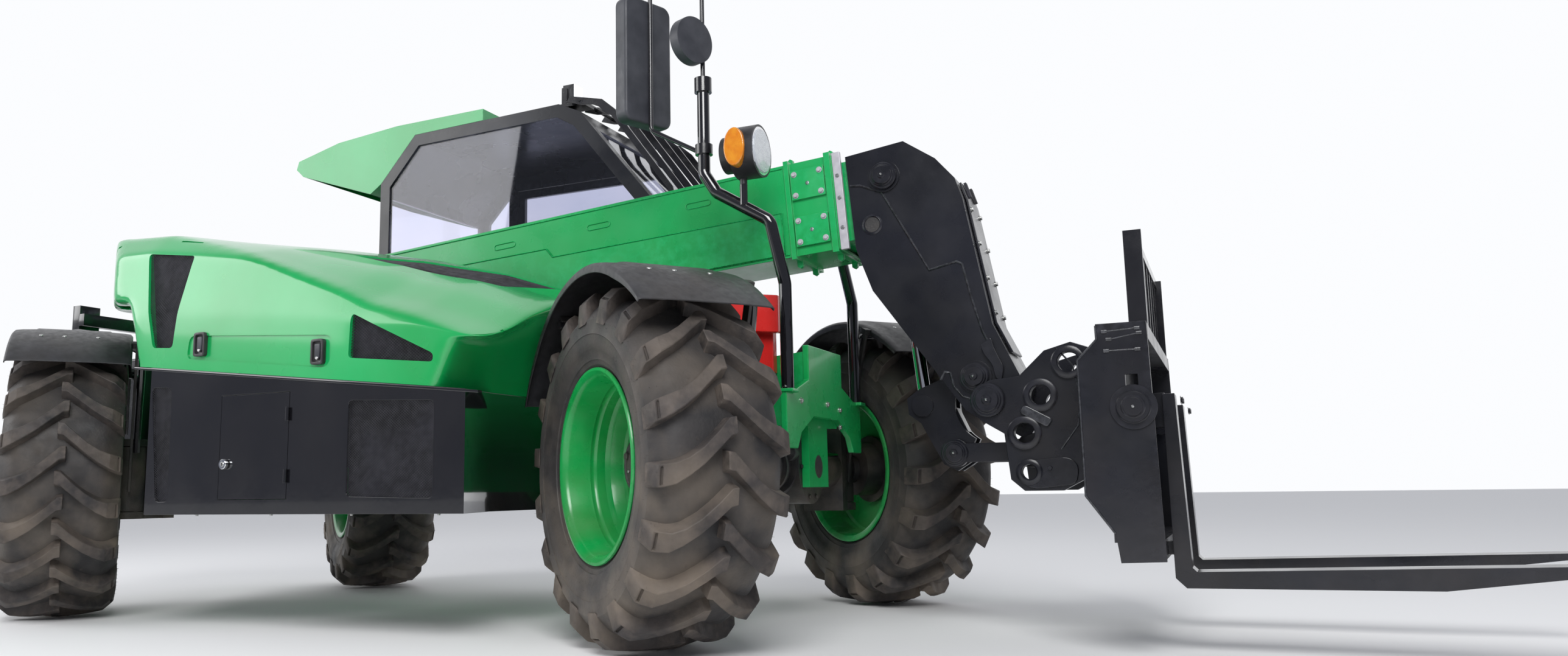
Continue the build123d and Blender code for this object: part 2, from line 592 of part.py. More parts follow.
# ---------------------------------------------------------------- boom
boom_middle = BOOM_TOP - BOOM_DEPTH / 2
with BuildPart() as outer_boom:
    add(boom_box(120, BOOM_LENGTH, BOOM_TOP - BOOM_DEPTH, BOOM_TOP, BOOM_WIDTH / 2))
    # stiffer collar at the mouth
    add(boom_box(BOOM_LENGTH - 200, BOOM_LENGTH - 180, BOOM_TOP - BOOM_DEPTH - 12, BOOM_TOP + 12, BOOM_WIDTH / 2 + 12))
    add(boom_box(BOOM_LENGTH - 30, BOOM_LENGTH - 5, BOOM_TOP - BOOM_DEPTH - 12, BOOM_TOP + 12, BOOM_WIDTH / 2 + 12))
    add(boom_box(119, BOOM_LENGTH + 1, BOOM_TOP - BOOM_DEPTH + BOOM_WALL, BOOM_TOP - BOOM_WALL,
                 BOOM_WIDTH / 2 - BOOM_WALL), mode=Mode.SUBTRACT)
    # rear cheeks and pivot bush
    cheek = [on_boom(u, v) for u, v in ((BOOM_REAR, 60), (-60, BOOM_TOP), (400, BOOM_TOP),
                                        (400, BOOM_TOP - BOOM_DEPTH), (120, BOOM_TOP - BOOM_DEPTH), (BOOM_REAR, -70))]
    for low, high in ((BOOM_WIDTH / 2 - 22, BOOM_WIDTH / 2), (-BOOM_WIDTH / 2, -BOOM_WIDTH / 2 + 22)):
        add(plate(cheek, low, high))
    add(shaft((PIVOT_X, PIVOT_Z), -RAIL_Y + GAP, RAIL_Y - GAP, 80))
    add(shaft((PIVOT_X, PIVOT_Z), -RAIL_Y, RAIL_Y, PIVOT_R + RUN), mode=Mode.SUBTRACT)
    # lugs of the lift cylinder, with closed pin heads
    lug = [on_boom(u, v) for u, v in ((2200, BOOM_TOP - BOOM_DEPTH + 4), (2720, BOOM_TOP - BOOM_DEPTH + 4),
                                      (2560, -400), (2380, -400))]
    for low, high in ((45 + GAP, 70), (-70, -45 - GAP)):
        add(plate(lug, low, high))
        add(shaft(LIFT_EYE, low if low > 0 else low - 14, high + 14 if high > 0 else high, 42))
write(outer_boom, "outer_boom")

with BuildPart() as wear_pads:
    pad_gap = BOOM_WIDTH / 2 - BOOM_WALL
    for side in (1, -1):
        for v0, v1 in ((BOOM_TOP - 150, BOOM_TOP - 40), (BOOM_TOP - BOOM_DEPTH + 40, BOOM_TOP - BOOM_DEPTH + 150)):
            corners = [on_boom(u, v) for u, v in ((BOOM_LENGTH - 170, v0), (BOOM_LENGTH - 40, v0),
                                                  (BOOM_LENGTH - 40, v1), (BOOM_LENGTH - 170, v1))]
            low, high = INNER_WIDTH / 2 + 0.5, pad_gap - SEAT
            add(plate(corners, low, high) if side == 1 else plate(corners, -high, -low))
            low, high = BOOM_WIDTH / 2 + SEAT, BOOM_WIDTH / 2 + 10
            add(plate(corners, low, high) if side == 1 else plate(corners, -high, -low))
    inner_bottom = boom_middle - INNER_DEPTH / 2
    inner_top = boom_middle + INNER_DEPTH / 2
    add(boom_box(BOOM_LENGTH - 170, BOOM_LENGTH - 20, BOOM_TOP - BOOM_DEPTH + BOOM_WALL + SEAT, inner_bottom - 0.5,
                 INNER_WIDTH / 2 - 10))
    add(boom_box(BOOM_LENGTH - 170, BOOM_LENGTH - 20, inner_top + 0.5, BOOM_TOP - BOOM_WALL - SEAT,
                 INNER_WIDTH / 2 - 10))
write(wear_pads, "wear_pads")

with BuildPart() as inner_boom:
    add(boom_box(INNER_REAR, INNER_END, inner_bottom, inner_top, INNER_WIDTH / 2))
    add(boom_box(INNER_REAR - 1, INNER_END + 1, inner_bottom + 8, inner_top - 8, INNER_WIDTH / 2 - 8),
        mode=Mode.SUBTRACT)
    # rear slide pads
    add(boom_box(INNER_REAR, INNER_REAR + 120, inner_bottom - 19, inner_bottom, INNER_WIDTH / 2 - 10))
    add(boom_box(INNER_REAR, INNER_REAR + 120, inner_top, inner_top + 19, INNER_WIDTH / 2 - 10))
write(inner_boom, "inner_boom")

head_outline = [(1848, 1800), (2080, 1830), (2200, 1745), (2270, 1660), (2295, 1580), (2380, 1100), (2475, 890),
                (2440, 770), (2330, 750), (2270, 790), (2190, 905), (1940, 1260), (1900, 1370), (1880, 1430)]
with BuildPart() as boom_head:
    add(plate(head_outline, -HEAD_HALF, HEAD_HALF))
    # hollow, open at the back below the boom and at the foot
    hollow_head = [(1800, 1790), (2075, 1810), (2190, 1728), (2252, 1650), (2275, 1575), (2360, 1095), (2440, 900),
                   (2420, 700), (2200, 700), (2160, 880), (1900, 1240), (1850, 1400)]
    add(plate(hollow_head, -HEAD_HALF + HEAD_WALL, HEAD_HALF - HEAD_WALL), mode=Mode.SUBTRACT)
    # round bosses for the pins
    for at, radius in ((TILT_BASE, 62), (ROCKER_AT, 60), (HITCH_AT, 66)):
        for low, high in ((HEAD_HALF - 1, HEAD_HALF + 8), (-HEAD_HALF - 8, -HEAD_HALF + 1)):
            add(shaft(at, low, high, radius))
    # pins fixed in the head
    add(shaft(TILT_BASE, -HEAD_HALF - 16, HEAD_HALF + 16, PIN_R))
    add(shaft(ROCKER_AT, -HEAD_HALF - 16, HEAD_HALF + 16, PIN_R))
    add(shaft(HITCH_AT, -HEAD_HALF - 70, HEAD_HALF + 70, PIN_R))
    # socket plate over the end of the inner boom
    add(boom_box(INNER_END + SEAT, INNER_END + 20, inner_bottom, inner_top, HEAD_HALF))
write(boom_head, "boom_head")


def along(start, end, distance):
    """The point this far from start towards end, in X and Z."""
    dx, dz = end[0] - start[0], end[1] - start[1]
    length = sqrt(dx * dx + dz * dz)
    return start[0] + dx * distance / length, start[1] + dz * distance / length


def strut_bar(start, end, near, far, radius):
    """A round bar on the centreline between two distances along start to end."""
    a, b = along(start, end, near), along(start, end, far)
    return bar((a[0], 0, a[1]), (b[0], 0, b[1]), radius)


def cylinder_pair(base, eye, bore_r, rod_r, closed, eye_r, eye_half, pin_r, rod_from):
    """Barrel and rod of a hydraulic cylinder. The rod's far eye is solid, because that pivot is left open."""
    length = sqrt((eye[0] - base[0]) ** 2 + (eye[1] - base[1]) ** 2)
    with BuildPart() as barrel:
        add(shaft(base, -eye_half, eye_half, eye_r))
        add(strut_bar(base, eye, 0, eye_r + 15, eye_half - 4))
        add(strut_bar(base, eye, eye_r + 14, closed, bore_r))
        add(strut_bar(base, eye, closed - 60, closed, bore_r + 3))
        add(strut_bar(base, eye, eye_r + 34, closed - 30, rod_r + 4), mode=Mode.SUBTRACT)
        add(strut_bar(base, eye, closed - 31, closed + 2, rod_r + RUN), mode=Mode.SUBTRACT)
        add(shaft(base, -bore_r - 5, bore_r + 5, pin_r + RUN), mode=Mode.SUBTRACT)
    with BuildPart() as rod:
        add(strut_bar(base, eye, rod_from, length, rod_r))
        add(strut_bar(base, eye, rod_from, rod_from + 40, rod_r + 3))
        add(shaft(eye, -eye_half, eye_half, eye_r))
    return barrel, rod


LIFT_CLOSED = 1780
lift_barrel, lift_rod = cylinder_pair(LIFT_BASE, LIFT_EYE, LIFT_R, LIFT_ROD_R, LIFT_CLOSED, 58, 45, 35, 140)
write(lift_barrel, "lift_cylinder_barrel")
write(lift_rod, "lift_cylinder_rod")
TILT_CLOSED = 560
tilt_barrel, tilt_rod = cylinder_pair(TILT_BASE, TILT_EYE, TILT_R, TILT_ROD_R, TILT_CLOSED, 50, 30, PIN_R, 320)
write(tilt_barrel, "tilt_cylinder_barrel")
write(tilt_rod, "tilt_cylinder_rod")

ROCKER_IN, ROCKER_WALL = 32, 22
LINK_IN, LINK_WALL = 64, 26
rocker_outline = [(2350, 950), (2290, 965), (2080, 885), (2030, 850), (2035, 790), (2080, 755), (2160, 600),
                  (2210, 575), (2265, 610), (2275, 680), (2360, 860)]
with BuildPart() as tilt_rocker:
    for low, high in ((ROCKER_IN, ROCKER_IN + ROCKER_WALL), (-ROCKER_IN - ROCKER_WALL, -ROCKER_IN)):
        add(plate(rocker_outline, low, high, [(*HITCH_AT, 150)]))
        add(shaft(ROCKER_AT, low, high, 56))
        add(shaft(TILT_EYE, low if low > 0 else low - 12, high + 12 if high > 0 else high, 40))
    add(plate([(2165, 790), (2210, 810), (2250, 720), (2200, 690)], -ROCKER_IN, ROCKER_IN))
    link_outer = LINK_IN + LINK_WALL
    add(shaft(LINK_LOW, -link_outer, link_outer, PIN_R))
    add(shaft(ROCKER_AT, -link_outer, link_outer, PIN_R + RUN), mode=Mode.SUBTRACT)
write(tilt_rocker, "tilt_rocker")

with BuildPart() as tilt_link:
    for low, high in ((LINK_IN, LINK_IN + LINK_WALL), (-LINK_IN - LINK_WALL, -LINK_IN)):
        add(block((LINK_LOW[0], low, LINK_LOW[1] - 34), (HITCH_LINK[0], high, LINK_LOW[1] + 34)))
        add(shaft(LINK_LOW, low, high, 52))
        add(shaft(HITCH_LINK, low, high, 46))
    add(shaft(LINK_LOW, -110, 110, PIN_R + RUN), mode=Mode.SUBTRACT)
write(tilt_link, "tilt_link")

HITCH_IN, HITCH_WALL = 170, 28
hitch_outline = [(2300, 800), (2315, 865), (2370, 892), (2470, 900), (2560, 985), (2650, 1010), (2715, 985),
                 (2715, 560), (2600, 500), (2470, 500), (2425, 540), (2410, 700), (2330, 750)]
hitch_holes = [(2640, 940, 35), (2540, 830, 35), (2480, 700, 35), (2490, 565, 26)]
with BuildPart() as hitch:
    for low, high in ((HITCH_IN, HITCH_IN + HITCH_WALL), (-HITCH_IN - HITCH_WALL, -HITCH_IN)):
        add(plate(hitch_outline, low, high, [(*HITCH_AT, PIN_R + RUN), *hitch_holes]))
    add(block((2690, -HITCH_IN - 1, 560), (2715, HITCH_IN + 1, 985)))
    # inner ears for the link, with solid pin heads
    ear = [(2700, 760), (2700, 570), (2450, 585), (2420, 640), (2450, 690)]
    for low, high in ((LINK_IN + LINK_WALL + GAP, LINK_IN + LINK_WALL + 22), (-LINK_IN - LINK_WALL - 22, -LINK_IN - LINK_WALL - GAP)):
        add(plate(ear, low, high))
write(hitch, "hitch")

# ---------------------------------------------------------------- fork carriage
side_outline = [(2775, 1010), (2922, 1010), (2932, 290), (2805, 285), (2795, 370), (2715 + SEAT, 480),
                (2715 + SEAT, 900), (2775, 960)]
slot = [(2852, 850), (2888, 850), (2888, 750), (2852, 750)]
with BuildPart() as fork_frame:
    for low in (-CARRIAGE_HALF, CARRIAGE_HALF - 16):
        add(plate(side_outline, low, low + 16))
        add(plate(slot, low - 1, low + 17), mode=Mode.SUBTRACT)
        add(shaft(SHAFT_AT, low - 1, low + 17, SHAFT_R + SEAT), mode=Mode.SUBTRACT)
    # gussets that meet the hitch
    for low in (-HITCH_IN - HITCH_WALL, HITCH_IN):
        add(plate([(2715 + SEAT, 560), (2715 + SEAT, 985), (2790, 1000), (2790, 560)], low, low + HITCH_WALL))
    add(block((2775, -CARRIAGE_HALF + 1, 960), (2922, CARRIAGE_HALF - 1, 1008)))
    add(block((2775, -CARRIAGE_HALF + 1, 500), (2800, CARRIAGE_HALF - 1, 990)))
    add(block((2806, -CARRIAGE_HALF + 1, 290), (2925, CARRIAGE_HALF - 1, 350)))
    add(block((2790, -CARRIAGE_HALF + 1, 345), (2812, CARRIAGE_HALF - 1, 505)))
    # fork shaft with its collars
    add(shaft(SHAFT_AT, -CARRIAGE_HALF - 30, CARRIAGE_HALF + 30, SHAFT_R))
    for low in (-CARRIAGE_HALF - 22, CARRIAGE_HALF + 2):
        add(shaft(SHAFT_AT, low, low + 20, 46))
write(fork_frame, "fork_frame")

BARS = 7
BACKREST_TOP = 1310
with BuildPart() as backrest:
    foot = 1008 + SEAT
    for y in (-520, 500):
        add(block((2868, y - 10, foot), (2922, y + 10, BACKREST_TOP)))
    for z in (foot, BACKREST_TOP - 30):
        add(block((2885, -520, z), (2905, 500, z + 30)))
    for n in range(1, BARS + 1):
        y = -520 + n * 1020 / (BARS + 1)
        add(block((2888, y - 7, foot + 5), (2902, y + 7, BACKREST_TOP - 5)))
write(backrest, "backrest")

fork_back = CARRIAGE_FRONT + 12
rise = FORK_RISE * pi / 180 * FORK_LONG
fork_outline = [(fork_back, 800), (fork_back, FORK_TOP - FORK_THICK + 30), (fork_back + 30, FORK_TOP - FORK_THICK),
                (fork_back + 700, FORK_TOP - FORK_THICK + 8), (fork_back + FORK_LONG, FORK_TOP + rise - FORK_TIP),
                (fork_back + FORK_LONG, FORK_TOP + rise), (fork_back + FORK_THICK + 12, FORK_TOP),
                (fork_back + FORK_THICK, FORK_TOP + 12), (fork_back + FORK_THICK - 14, 800)]
for name, y in (("fork_right", FORK_NEAR), ("fork_left", FORK_FAR)):
    with BuildPart() as fork:
        low, high = y - FORK_WIDE / 2, y + FORK_WIDE / 2
        add(plate(fork_outline, low, high))
        add(plate([(2850, 800), (fork_back + 5, 805), (fork_back + 5, 695), (2850, 700)], low + 20, high - 20))
        add(shaft(SHAFT_AT, low + 20, high - 20, 52))
        add(shaft(SHAFT_AT, low, high, SHAFT_R + RUN), mode=Mode.SUBTRACT)
        # foot that leans on the lower bar
        add(block((2925 + SEAT, low + 30, 300), (fork_back + 2, high - 30, 340)))
    write(fork, name)

# ---------------------------------------------------------------- mirrors and lamp
ARM_R = 9
with BuildPart() as mirror_arm:
    for z in (1795, POST_TOP - 45):
        with BuildSketch(Plane.XY.offset(z)):
            with Locations((MIRROR_X, MIRROR_Y)):
                Circle(POST_R + 10)
                Circle(POST_R + RUN, mode=Mode.SUBTRACT)
        extrude(amount=40)
    with BuildSketch(Plane.XY.offset(POST_TOP + GAP)):
        with Locations((MIRROR_X, MIRROR_Y)):
            Circle(POST_R + 10)
    extrude(amount=12)
    with BuildSketch(Plane.XY.offset(POST_TOP - 10)):
        with Locations((MIRROR_X, MIRROR_Y)):
            Circle(POST_R + 10)
            Circle(POST_R + RUN, mode=Mode.SUBTRACT)
    extrude(amount=15)
    add(tube([(MIRROR_X, MIRROR_Y, POST_TOP + 5), (MIRROR_X, MIRROR_Y, 2450), (1300, MIRROR_Y, 2510),
              (1150, MIRROR_Y, 2510), (1150, MIRROR_Y, 1930), (MIRROR_X - POST_R - 5, MIRROR_Y, 1815)], ARM_R, 30))
write(mirror_arm, "mirror_arm")

BIG_MIRROR = (1150, MIRROR_Y, 2215)
face = Vector(0.93, -0.36, 0).normalized()
across = Vector(0.36, 0.93, 0).normalized()
with BuildPart() as big_mirror:
    with BuildSketch(Plane(origin=Vector(*BIG_MIRROR) - face * (ARM_R + SEAT), x_dir=across, z_dir=face)):
        RectangleRounded(240, 520, 40)
    extrude(amount=-70)
write(big_mirror, "big_mirror")

ROUND_MIRROR = (MIRROR_X, MIRROR_Y, 2240)
with BuildPart() as round_mirror:
    with BuildSketch(Plane(origin=Vector(*ROUND_MIRROR) + across * -60, z_dir=face)):
        Circle(92)
    extrude(amount=22, both=True)
    with BuildSketch(Plane.XY.offset(ROUND_MIRROR[2] - 20)):
        with Locations((MIRROR_X, MIRROR_Y)):
            Circle(ARM_R + 8)
    extrude(amount=40)
    add(bar((MIRROR_X, MIRROR_Y, 2060), (MIRROR_X, MIRROR_Y, 2445), ARM_R + RUN), mode=Mode.SUBTRACT)
write(round_mirror, "round_mirror")

with BuildPart() as headlamp:
    with BuildSketch(Plane.YZ.offset(LAMP[0] - 70)):
        with Locations((LAMP[1], LAMP[2])):
            Circle(70)
    extrude(amount=60)
    with BuildSketch(Plane.YZ.offset(LAMP[0] - 20)):
        with Locations((LAMP[1], LAMP[2])):
            Circle(100)
    extrude(amount=95)
    add(bar((LAMP[0], LAMP[1], LAMP[2] - 120), (LAMP[0], LAMP[1], LAMP[2] - 60), 14))
write(headlamp, "headlamp")
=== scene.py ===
# %% [markdown]
# # A telescopic handler, from its CAD frame to a finished picture
# The machine lifts pallets on a long boom, and its four wheels are turned the same way, for crab steering.
# CAD has already settled every size, joint and fit. Blender only gives the pieces their real surfaces,
# so each cell takes a piece's place from the frame and never moves it. Lengths are in metres.

# %% Load the frame
import bmesh
import bpy
import json
from math import atan2, cos, pi, radians, sin, sqrt
from mathutils import Matrix, Vector


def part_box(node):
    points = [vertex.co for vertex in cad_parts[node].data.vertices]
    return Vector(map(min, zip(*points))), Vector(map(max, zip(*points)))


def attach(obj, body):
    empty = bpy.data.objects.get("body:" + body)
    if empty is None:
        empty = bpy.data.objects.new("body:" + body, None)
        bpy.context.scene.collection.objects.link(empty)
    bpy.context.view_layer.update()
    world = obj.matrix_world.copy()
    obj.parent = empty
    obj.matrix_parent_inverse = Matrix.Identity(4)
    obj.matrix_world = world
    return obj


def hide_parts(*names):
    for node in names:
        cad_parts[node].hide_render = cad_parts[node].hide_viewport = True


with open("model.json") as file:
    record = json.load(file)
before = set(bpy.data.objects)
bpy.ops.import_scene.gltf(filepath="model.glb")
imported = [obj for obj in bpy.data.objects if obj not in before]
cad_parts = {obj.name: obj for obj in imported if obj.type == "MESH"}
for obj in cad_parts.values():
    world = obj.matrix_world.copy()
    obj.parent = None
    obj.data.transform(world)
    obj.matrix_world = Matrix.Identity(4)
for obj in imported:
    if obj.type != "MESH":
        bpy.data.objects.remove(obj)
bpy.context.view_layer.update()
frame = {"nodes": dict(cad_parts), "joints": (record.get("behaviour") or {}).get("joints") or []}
joints = {joint["name"]: joint for joint in frame["joints"]}

# %% [markdown]
# ## Finishes
# Paint, rubber and plastic are never one flat colour: they carry faint mottling, dust that settles low down,
# and edges that rub bright. One function makes such a finish from noise on Object coordinates,
# so the pattern keeps its real size on every piece. What is the same all over goes on the shader's own sockets.

# %% A function for every finish
materials = {}


def finish(name, colour, second, roughness, grain=9.0, swing=0.08, bump=0.0, bump_size=180.0, dust=0.0,
           edge=None, edge_at=(0.53, 0.6), **sockets):
    """A finish: two mottled colours, a roughness that wanders, fine bumps, dust below and worn edges."""
    made = bpy.data.materials.new(name)
    made.use_nodes = True
    nodes, links = made.node_tree.nodes, made.node_tree.links
    shader = nodes["Principled BSDF"]
    for socket, value in sockets.items():
        shader.inputs[socket.replace("_", " ")].default_value = value
    place = nodes.new("ShaderNodeTexCoord").outputs["Object"]

    def noise(scale, detail=4.0):
        texture = nodes.new("ShaderNodeTexNoise")
        texture.inputs["Scale"].default_value = scale
        texture.inputs["Detail"].default_value = detail
        links.new(place, texture.inputs["Vector"])
        return texture.outputs["Fac"]

    def spread(value, low, high, to_low=0.0, to_high=1.0):
        ranged = nodes.new("ShaderNodeMapRange")
        links.new(value, ranged.inputs["Value"])
        for socket, number in zip(("From Min", "From Max", "To Min", "To Max"), (low, high, to_low, to_high)):
            ranged.inputs[socket].default_value = number
        return ranged.outputs["Result"]

    def mix(amount, under, over):
        mixed = nodes.new("ShaderNodeMix")
        mixed.data_type = "RGBA"
        links.new(amount, mixed.inputs["Factor"])
        for socket, value in (("A", under), ("B", over)):
            slot = [s for s in mixed.inputs if s.name == socket and s.type == "RGBA"][0]
            if isinstance(value, tuple):
                slot.default_value = (*value, 1.0)
            else:
                links.new(value, slot)
        return [s for s in mixed.outputs if s.type == "RGBA"][0]

    def times(a, b):
        product = nodes.new("ShaderNodeMath")
        product.operation = "MULTIPLY"
        for socket, value in zip(product.inputs, (a, b)):
            if isinstance(value, float):
                socket.default_value = value
            else:
                links.new(value, socket)
        return product.outputs[0]

    skin = mix(spread(noise(grain), 0.35, 0.65), colour, second)
    if dust:
        parts = nodes.new("ShaderNodeSeparateXYZ")
        links.new(place, parts.inputs[0])
        low_down = spread(parts.outputs["Z"], 1.3, 0.1, 0.15, 1.0)
        skin = mix(times(times(low_down, spread(noise(4.5, 8.0), 0.42, 0.75)), dust), skin, DUST)
    if edge:
        worn = spread(nodes.new("ShaderNodeNewGeometry").outputs["Pointiness"], *edge_at, 0.0, 0.6)
        skin = mix(times(worn, spread(noise(35.0), 0.4, 0.7)), skin, edge)
    links.new(skin, shader.inputs["Base Color"])
    links.new(spread(noise(grain * 2.3), 0.3, 0.7, roughness - swing, roughness + swing),
              shader.inputs["Roughness"])
    if bump:
        bumps = nodes.new("ShaderNodeBump")
        bumps.inputs["Strength"].default_value = 0.6
        bumps.inputs["Distance"].default_value = bump
        links.new(noise(bump_size, 3.0), bumps.inputs["Height"])
        links.new(bumps.outputs["Normal"], shader.inputs["Normal"])
    materials[name] = made
    return made


DUST = (0.30, 0.24, 0.18)
GREEN, LIGHT_GREEN = (0.004, 0.335, 0.075), (0.007, 0.40, 0.105)
finish("green_paint", GREEN, LIGHT_GREEN, 0.3, 3.0, bump=0.0004, dust=0.12, edge=(0.03, 0.55, 0.2),
       Coat_Weight=0.35, Coat_Roughness=0.12)
finish("green_gloss", GREEN, LIGHT_GREEN, 0.24, 1.6, 0.05, bump=0.0002, bump_size=70, dust=0.06,
       Coat_Weight=0.6, Coat_Roughness=0.06)
finish("rim_green", (0.003, 0.30, 0.055), (0.006, 0.37, 0.08), 0.3, 6.0, dust=0.3, edge=(0.05, 0.5, 0.15),
       Coat_Weight=0.4, Coat_Roughness=0.15)
finish("red_paint", (0.62, 0.012, 0.012), (0.72, 0.03, 0.025), 0.3, 5.0, dust=0.1, Coat_Weight=0.4)
finish("black_gloss", (0.004, 0.004, 0.006), (0.008, 0.008, 0.010), 0.09, 2.0, 0.04, bump=0.0006,
       bump_size=9, dust=0.02, Coat_Weight=1.0, Coat_Roughness=0.03)
finish("black_paint", (0.006, 0.006, 0.008), (0.012, 0.012, 0.015), 0.22, 4.0, 0.08, bump=0.0003, dust=0.05,
       Coat_Weight=0.6, Coat_Roughness=0.1)
finish("satin_black", (0.005, 0.0055, 0.008), (0.011, 0.012, 0.018), 0.3, 2.5, 0.1, bump=0.0006,
       bump_size=45, dust=0.05, edge=(0.05, 0.05, 0.065), Coat_Weight=0.3,
       Coat_Roughness=0.16, Specular_IOR_Level=0.35)
finish("weld", (0.014, 0.015, 0.018), (0.05, 0.052, 0.06), 0.32, 60.0, bump=0.0015, bump_size=120,
       Coat_Weight=0.5)
finish("green_weld", (0.004, 0.30, 0.07), (0.01, 0.45, 0.13), 0.3, 60.0, bump=0.0015, bump_size=120)
finish("cast_black", (0.012, 0.012, 0.014), (0.035, 0.034, 0.034), 0.48, 12.0, bump=0.002, bump_size=150,
       dust=0.5)
finish("rubber", (0.018, 0.017, 0.018), (0.040, 0.036, 0.035), 0.62, 7.0, 0.12, bump=0.0016, bump_size=110,
       dust=0.55, edge=(0.09, 0.075, 0.065), Sheen_Weight=0.05)
finish("lug_rubber", (0.024, 0.022, 0.023), (0.060, 0.050, 0.046), 0.7, 11.0, 0.12, bump=0.0022,
       bump_size=85, dust=0.75, edge=(0.16, 0.13, 0.11))
finish("plastic_black", (0.016, 0.016, 0.018), (0.028, 0.028, 0.032), 0.42, 20.0, bump=0.0006, bump_size=420,
       dust=0.18, edge=(0.07, 0.07, 0.075))
finish("plastic_grey", (0.032, 0.034, 0.042), (0.05, 0.052, 0.062), 0.45, 14.0, bump=0.0007, bump_size=500)
finish("zinc", (0.62, 0.62, 0.60), (0.42, 0.43, 0.42), 0.28, 60.0, bump=0.0003, bump_size=300, Metallic=1.0)
finish("chrome", (0.85, 0.85, 0.86), (0.74, 0.75, 0.77), 0.08, 5.0, 0.03, Metallic=1.0)
finish("mirror_glass", (0.82, 0.84, 0.86), (0.76, 0.79, 0.82), 0.04, 3.0, 0.02, Metallic=1.0)
finish("alloy_strip", (0.62, 0.60, 0.64), (0.52, 0.51, 0.55), 0.42, 25.0, Metallic=0.4)
finish("mesh_wire", (0.014, 0.014, 0.018), (0.05, 0.05, 0.058), 0.4, 40.0, Metallic=0.3)
# a near-black finish that paints shade: the dark space behind grilles and vents and inside the hose slots
finish("behind_mesh", (0.008, 0.008, 0.011), (0.035, 0.034, 0.05), 0.6, 5.0)
finish("slide_pad", (0.66, 0.66, 0.62), (0.54, 0.53, 0.5), 0.55, 12.0)
finish("seat_cloth", (0.02, 0.021, 0.025), (0.045, 0.046, 0.054), 0.9, 260.0, bump=0.001, bump_size=600,
       Sheen_Weight=0.5, Sheen_Roughness=0.4)
finish("amber", (0.85, 0.25, 0.01), (0.95, 0.36, 0.02), 0.14, 30.0, bump=0.002, bump_size=130,
       Coat_Weight=0.8, Transmission_Weight=0.25)
finish("red_lens", (0.5, 0.01, 0.01), (0.6, 0.03, 0.02), 0.15, 40.0, Coat_Weight=0.8)
finish("lens", (0.86, 0.9, 0.94), (0.72, 0.76, 0.82), 0.08, 45.0, bump=0.003, bump_size=160,
       Coat_Weight=0.8, Transmission_Weight=0.35)
finish("led", (0.9, 0.9, 0.93), (0.8, 0.82, 0.9), 0.2, 60.0, Emission_Color=(0.95, 0.97, 1.0, 1.0),
       Emission_Strength=1.2)
finish("cab_lining", (0.10, 0.10, 0.115), (0.15, 0.15, 0.17), 0.7, 9.0, bump=0.001, bump_size=220)
finish("cab_glass", (0.80, 0.80, 0.90), (0.72, 0.74, 0.86), 0.03, 1.5, 0.02, Transmission_Weight=1.0,
       IOR=1.1, Coat_Weight=0.8, Coat_Roughness=0.02)
print(len(materials), "finishes")

# %% [markdown]
# ## Small tools
# Most pieces start in one of four ways: a ring turned about an axis, a rod along a path, a plate cut from
# an outline, or a cleaned copy of a CAD node with its sharp edges rounded. A sheet-metal edge is never a
# perfect corner, and the thin light that a small radius catches is what makes a piece look made of metal.

# %% Mesh helpers
def link(name, mesh):
    made = bpy.data.objects.new(name, mesh)
    bpy.context.scene.collection.objects.link(made)
    return made


def from_lists(name, points, faces, edges=()):
    mesh = bpy.data.meshes.new(name)
    mesh.from_pydata([tuple(p) for p in points], [tuple(e) for e in edges], [tuple(f) for f in faces])
    mesh.validate()
    return link(name, mesh)


def settle(piece):
    """Turns a piece's modifiers into plain mesh."""
    bpy.context.view_layer.update()
    graph = bpy.context.evaluated_depsgraph_get()
    mesh = bpy.data.meshes.new_from_object(piece.evaluated_get(graph))
    piece.modifiers.clear()
    if piece.type == "MESH":
        piece.data = mesh
        return piece
    plain = link(piece.name + "_mesh", mesh)
    name = piece.name
    bpy.data.objects.remove(piece)
    plain.name = name
    return plain


def tidy(piece, merge=0.00002, outwards=True):
    """Joins doubled points and turns the faces outwards."""
    mesh = bmesh.new()
    mesh.from_mesh(piece.data)
    bmesh.ops.remove_doubles(mesh, verts=mesh.verts, dist=merge)
    if outwards:
        bmesh.ops.recalc_face_normals(mesh, faces=mesh.faces)
    mesh.to_mesh(piece.data)
    mesh.free()
    return piece


def shade(piece, angle=35):
    piece.data.shade_smooth()
    piece.data.set_sharp_from_angle(angle=radians(angle))
    return piece


def round_edges(piece, width=0.003, segments=2, angle=35):
    bevel = piece.modifiers.new("edges", "BEVEL")
    bevel.width = width
    bevel.segments = segments
    bevel.angle_limit = radians(angle)
    bevel.use_clamp_overlap = True
    return settle(piece)


def paint(piece, material):
    piece.data.materials.clear()
    piece.data.materials.append(materials[material])
    return piece


def place(piece, matrix):
    piece.data.transform(matrix)
    if matrix.determinant() < 0:
        piece.data.flip_normals()
    return piece


def join(name, pieces):
    """One mesh from several, which keep their own finishes."""
    mesh = bmesh.new()
    finishes = []
    for piece in pieces:
        start = len(mesh.faces)
        mesh.from_mesh(piece.data)
        mesh.faces.ensure_lookup_table()
        slots = []
        for material in piece.data.materials:
            if material not in finishes:
                finishes.append(material)
            slots.append(finishes.index(material))
        for face in mesh.faces[start:]:
            face.material_index = slots[min(face.material_index, len(slots) - 1)] if slots else 0
    made = bpy.data.meshes.new(name)
    mesh.to_mesh(made)
    mesh.free()
    for material in finishes:
        made.materials.append(material)
    for piece in pieces:
        bpy.data.objects.remove(piece)
    return link(name, made)


def show(piece, body, slot, *nodes):
    """Hands a finished piece to the frame."""
    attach(piece, body)
    if nodes:
        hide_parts(*nodes)
    shown.append(piece.name)
    return piece


shown = []


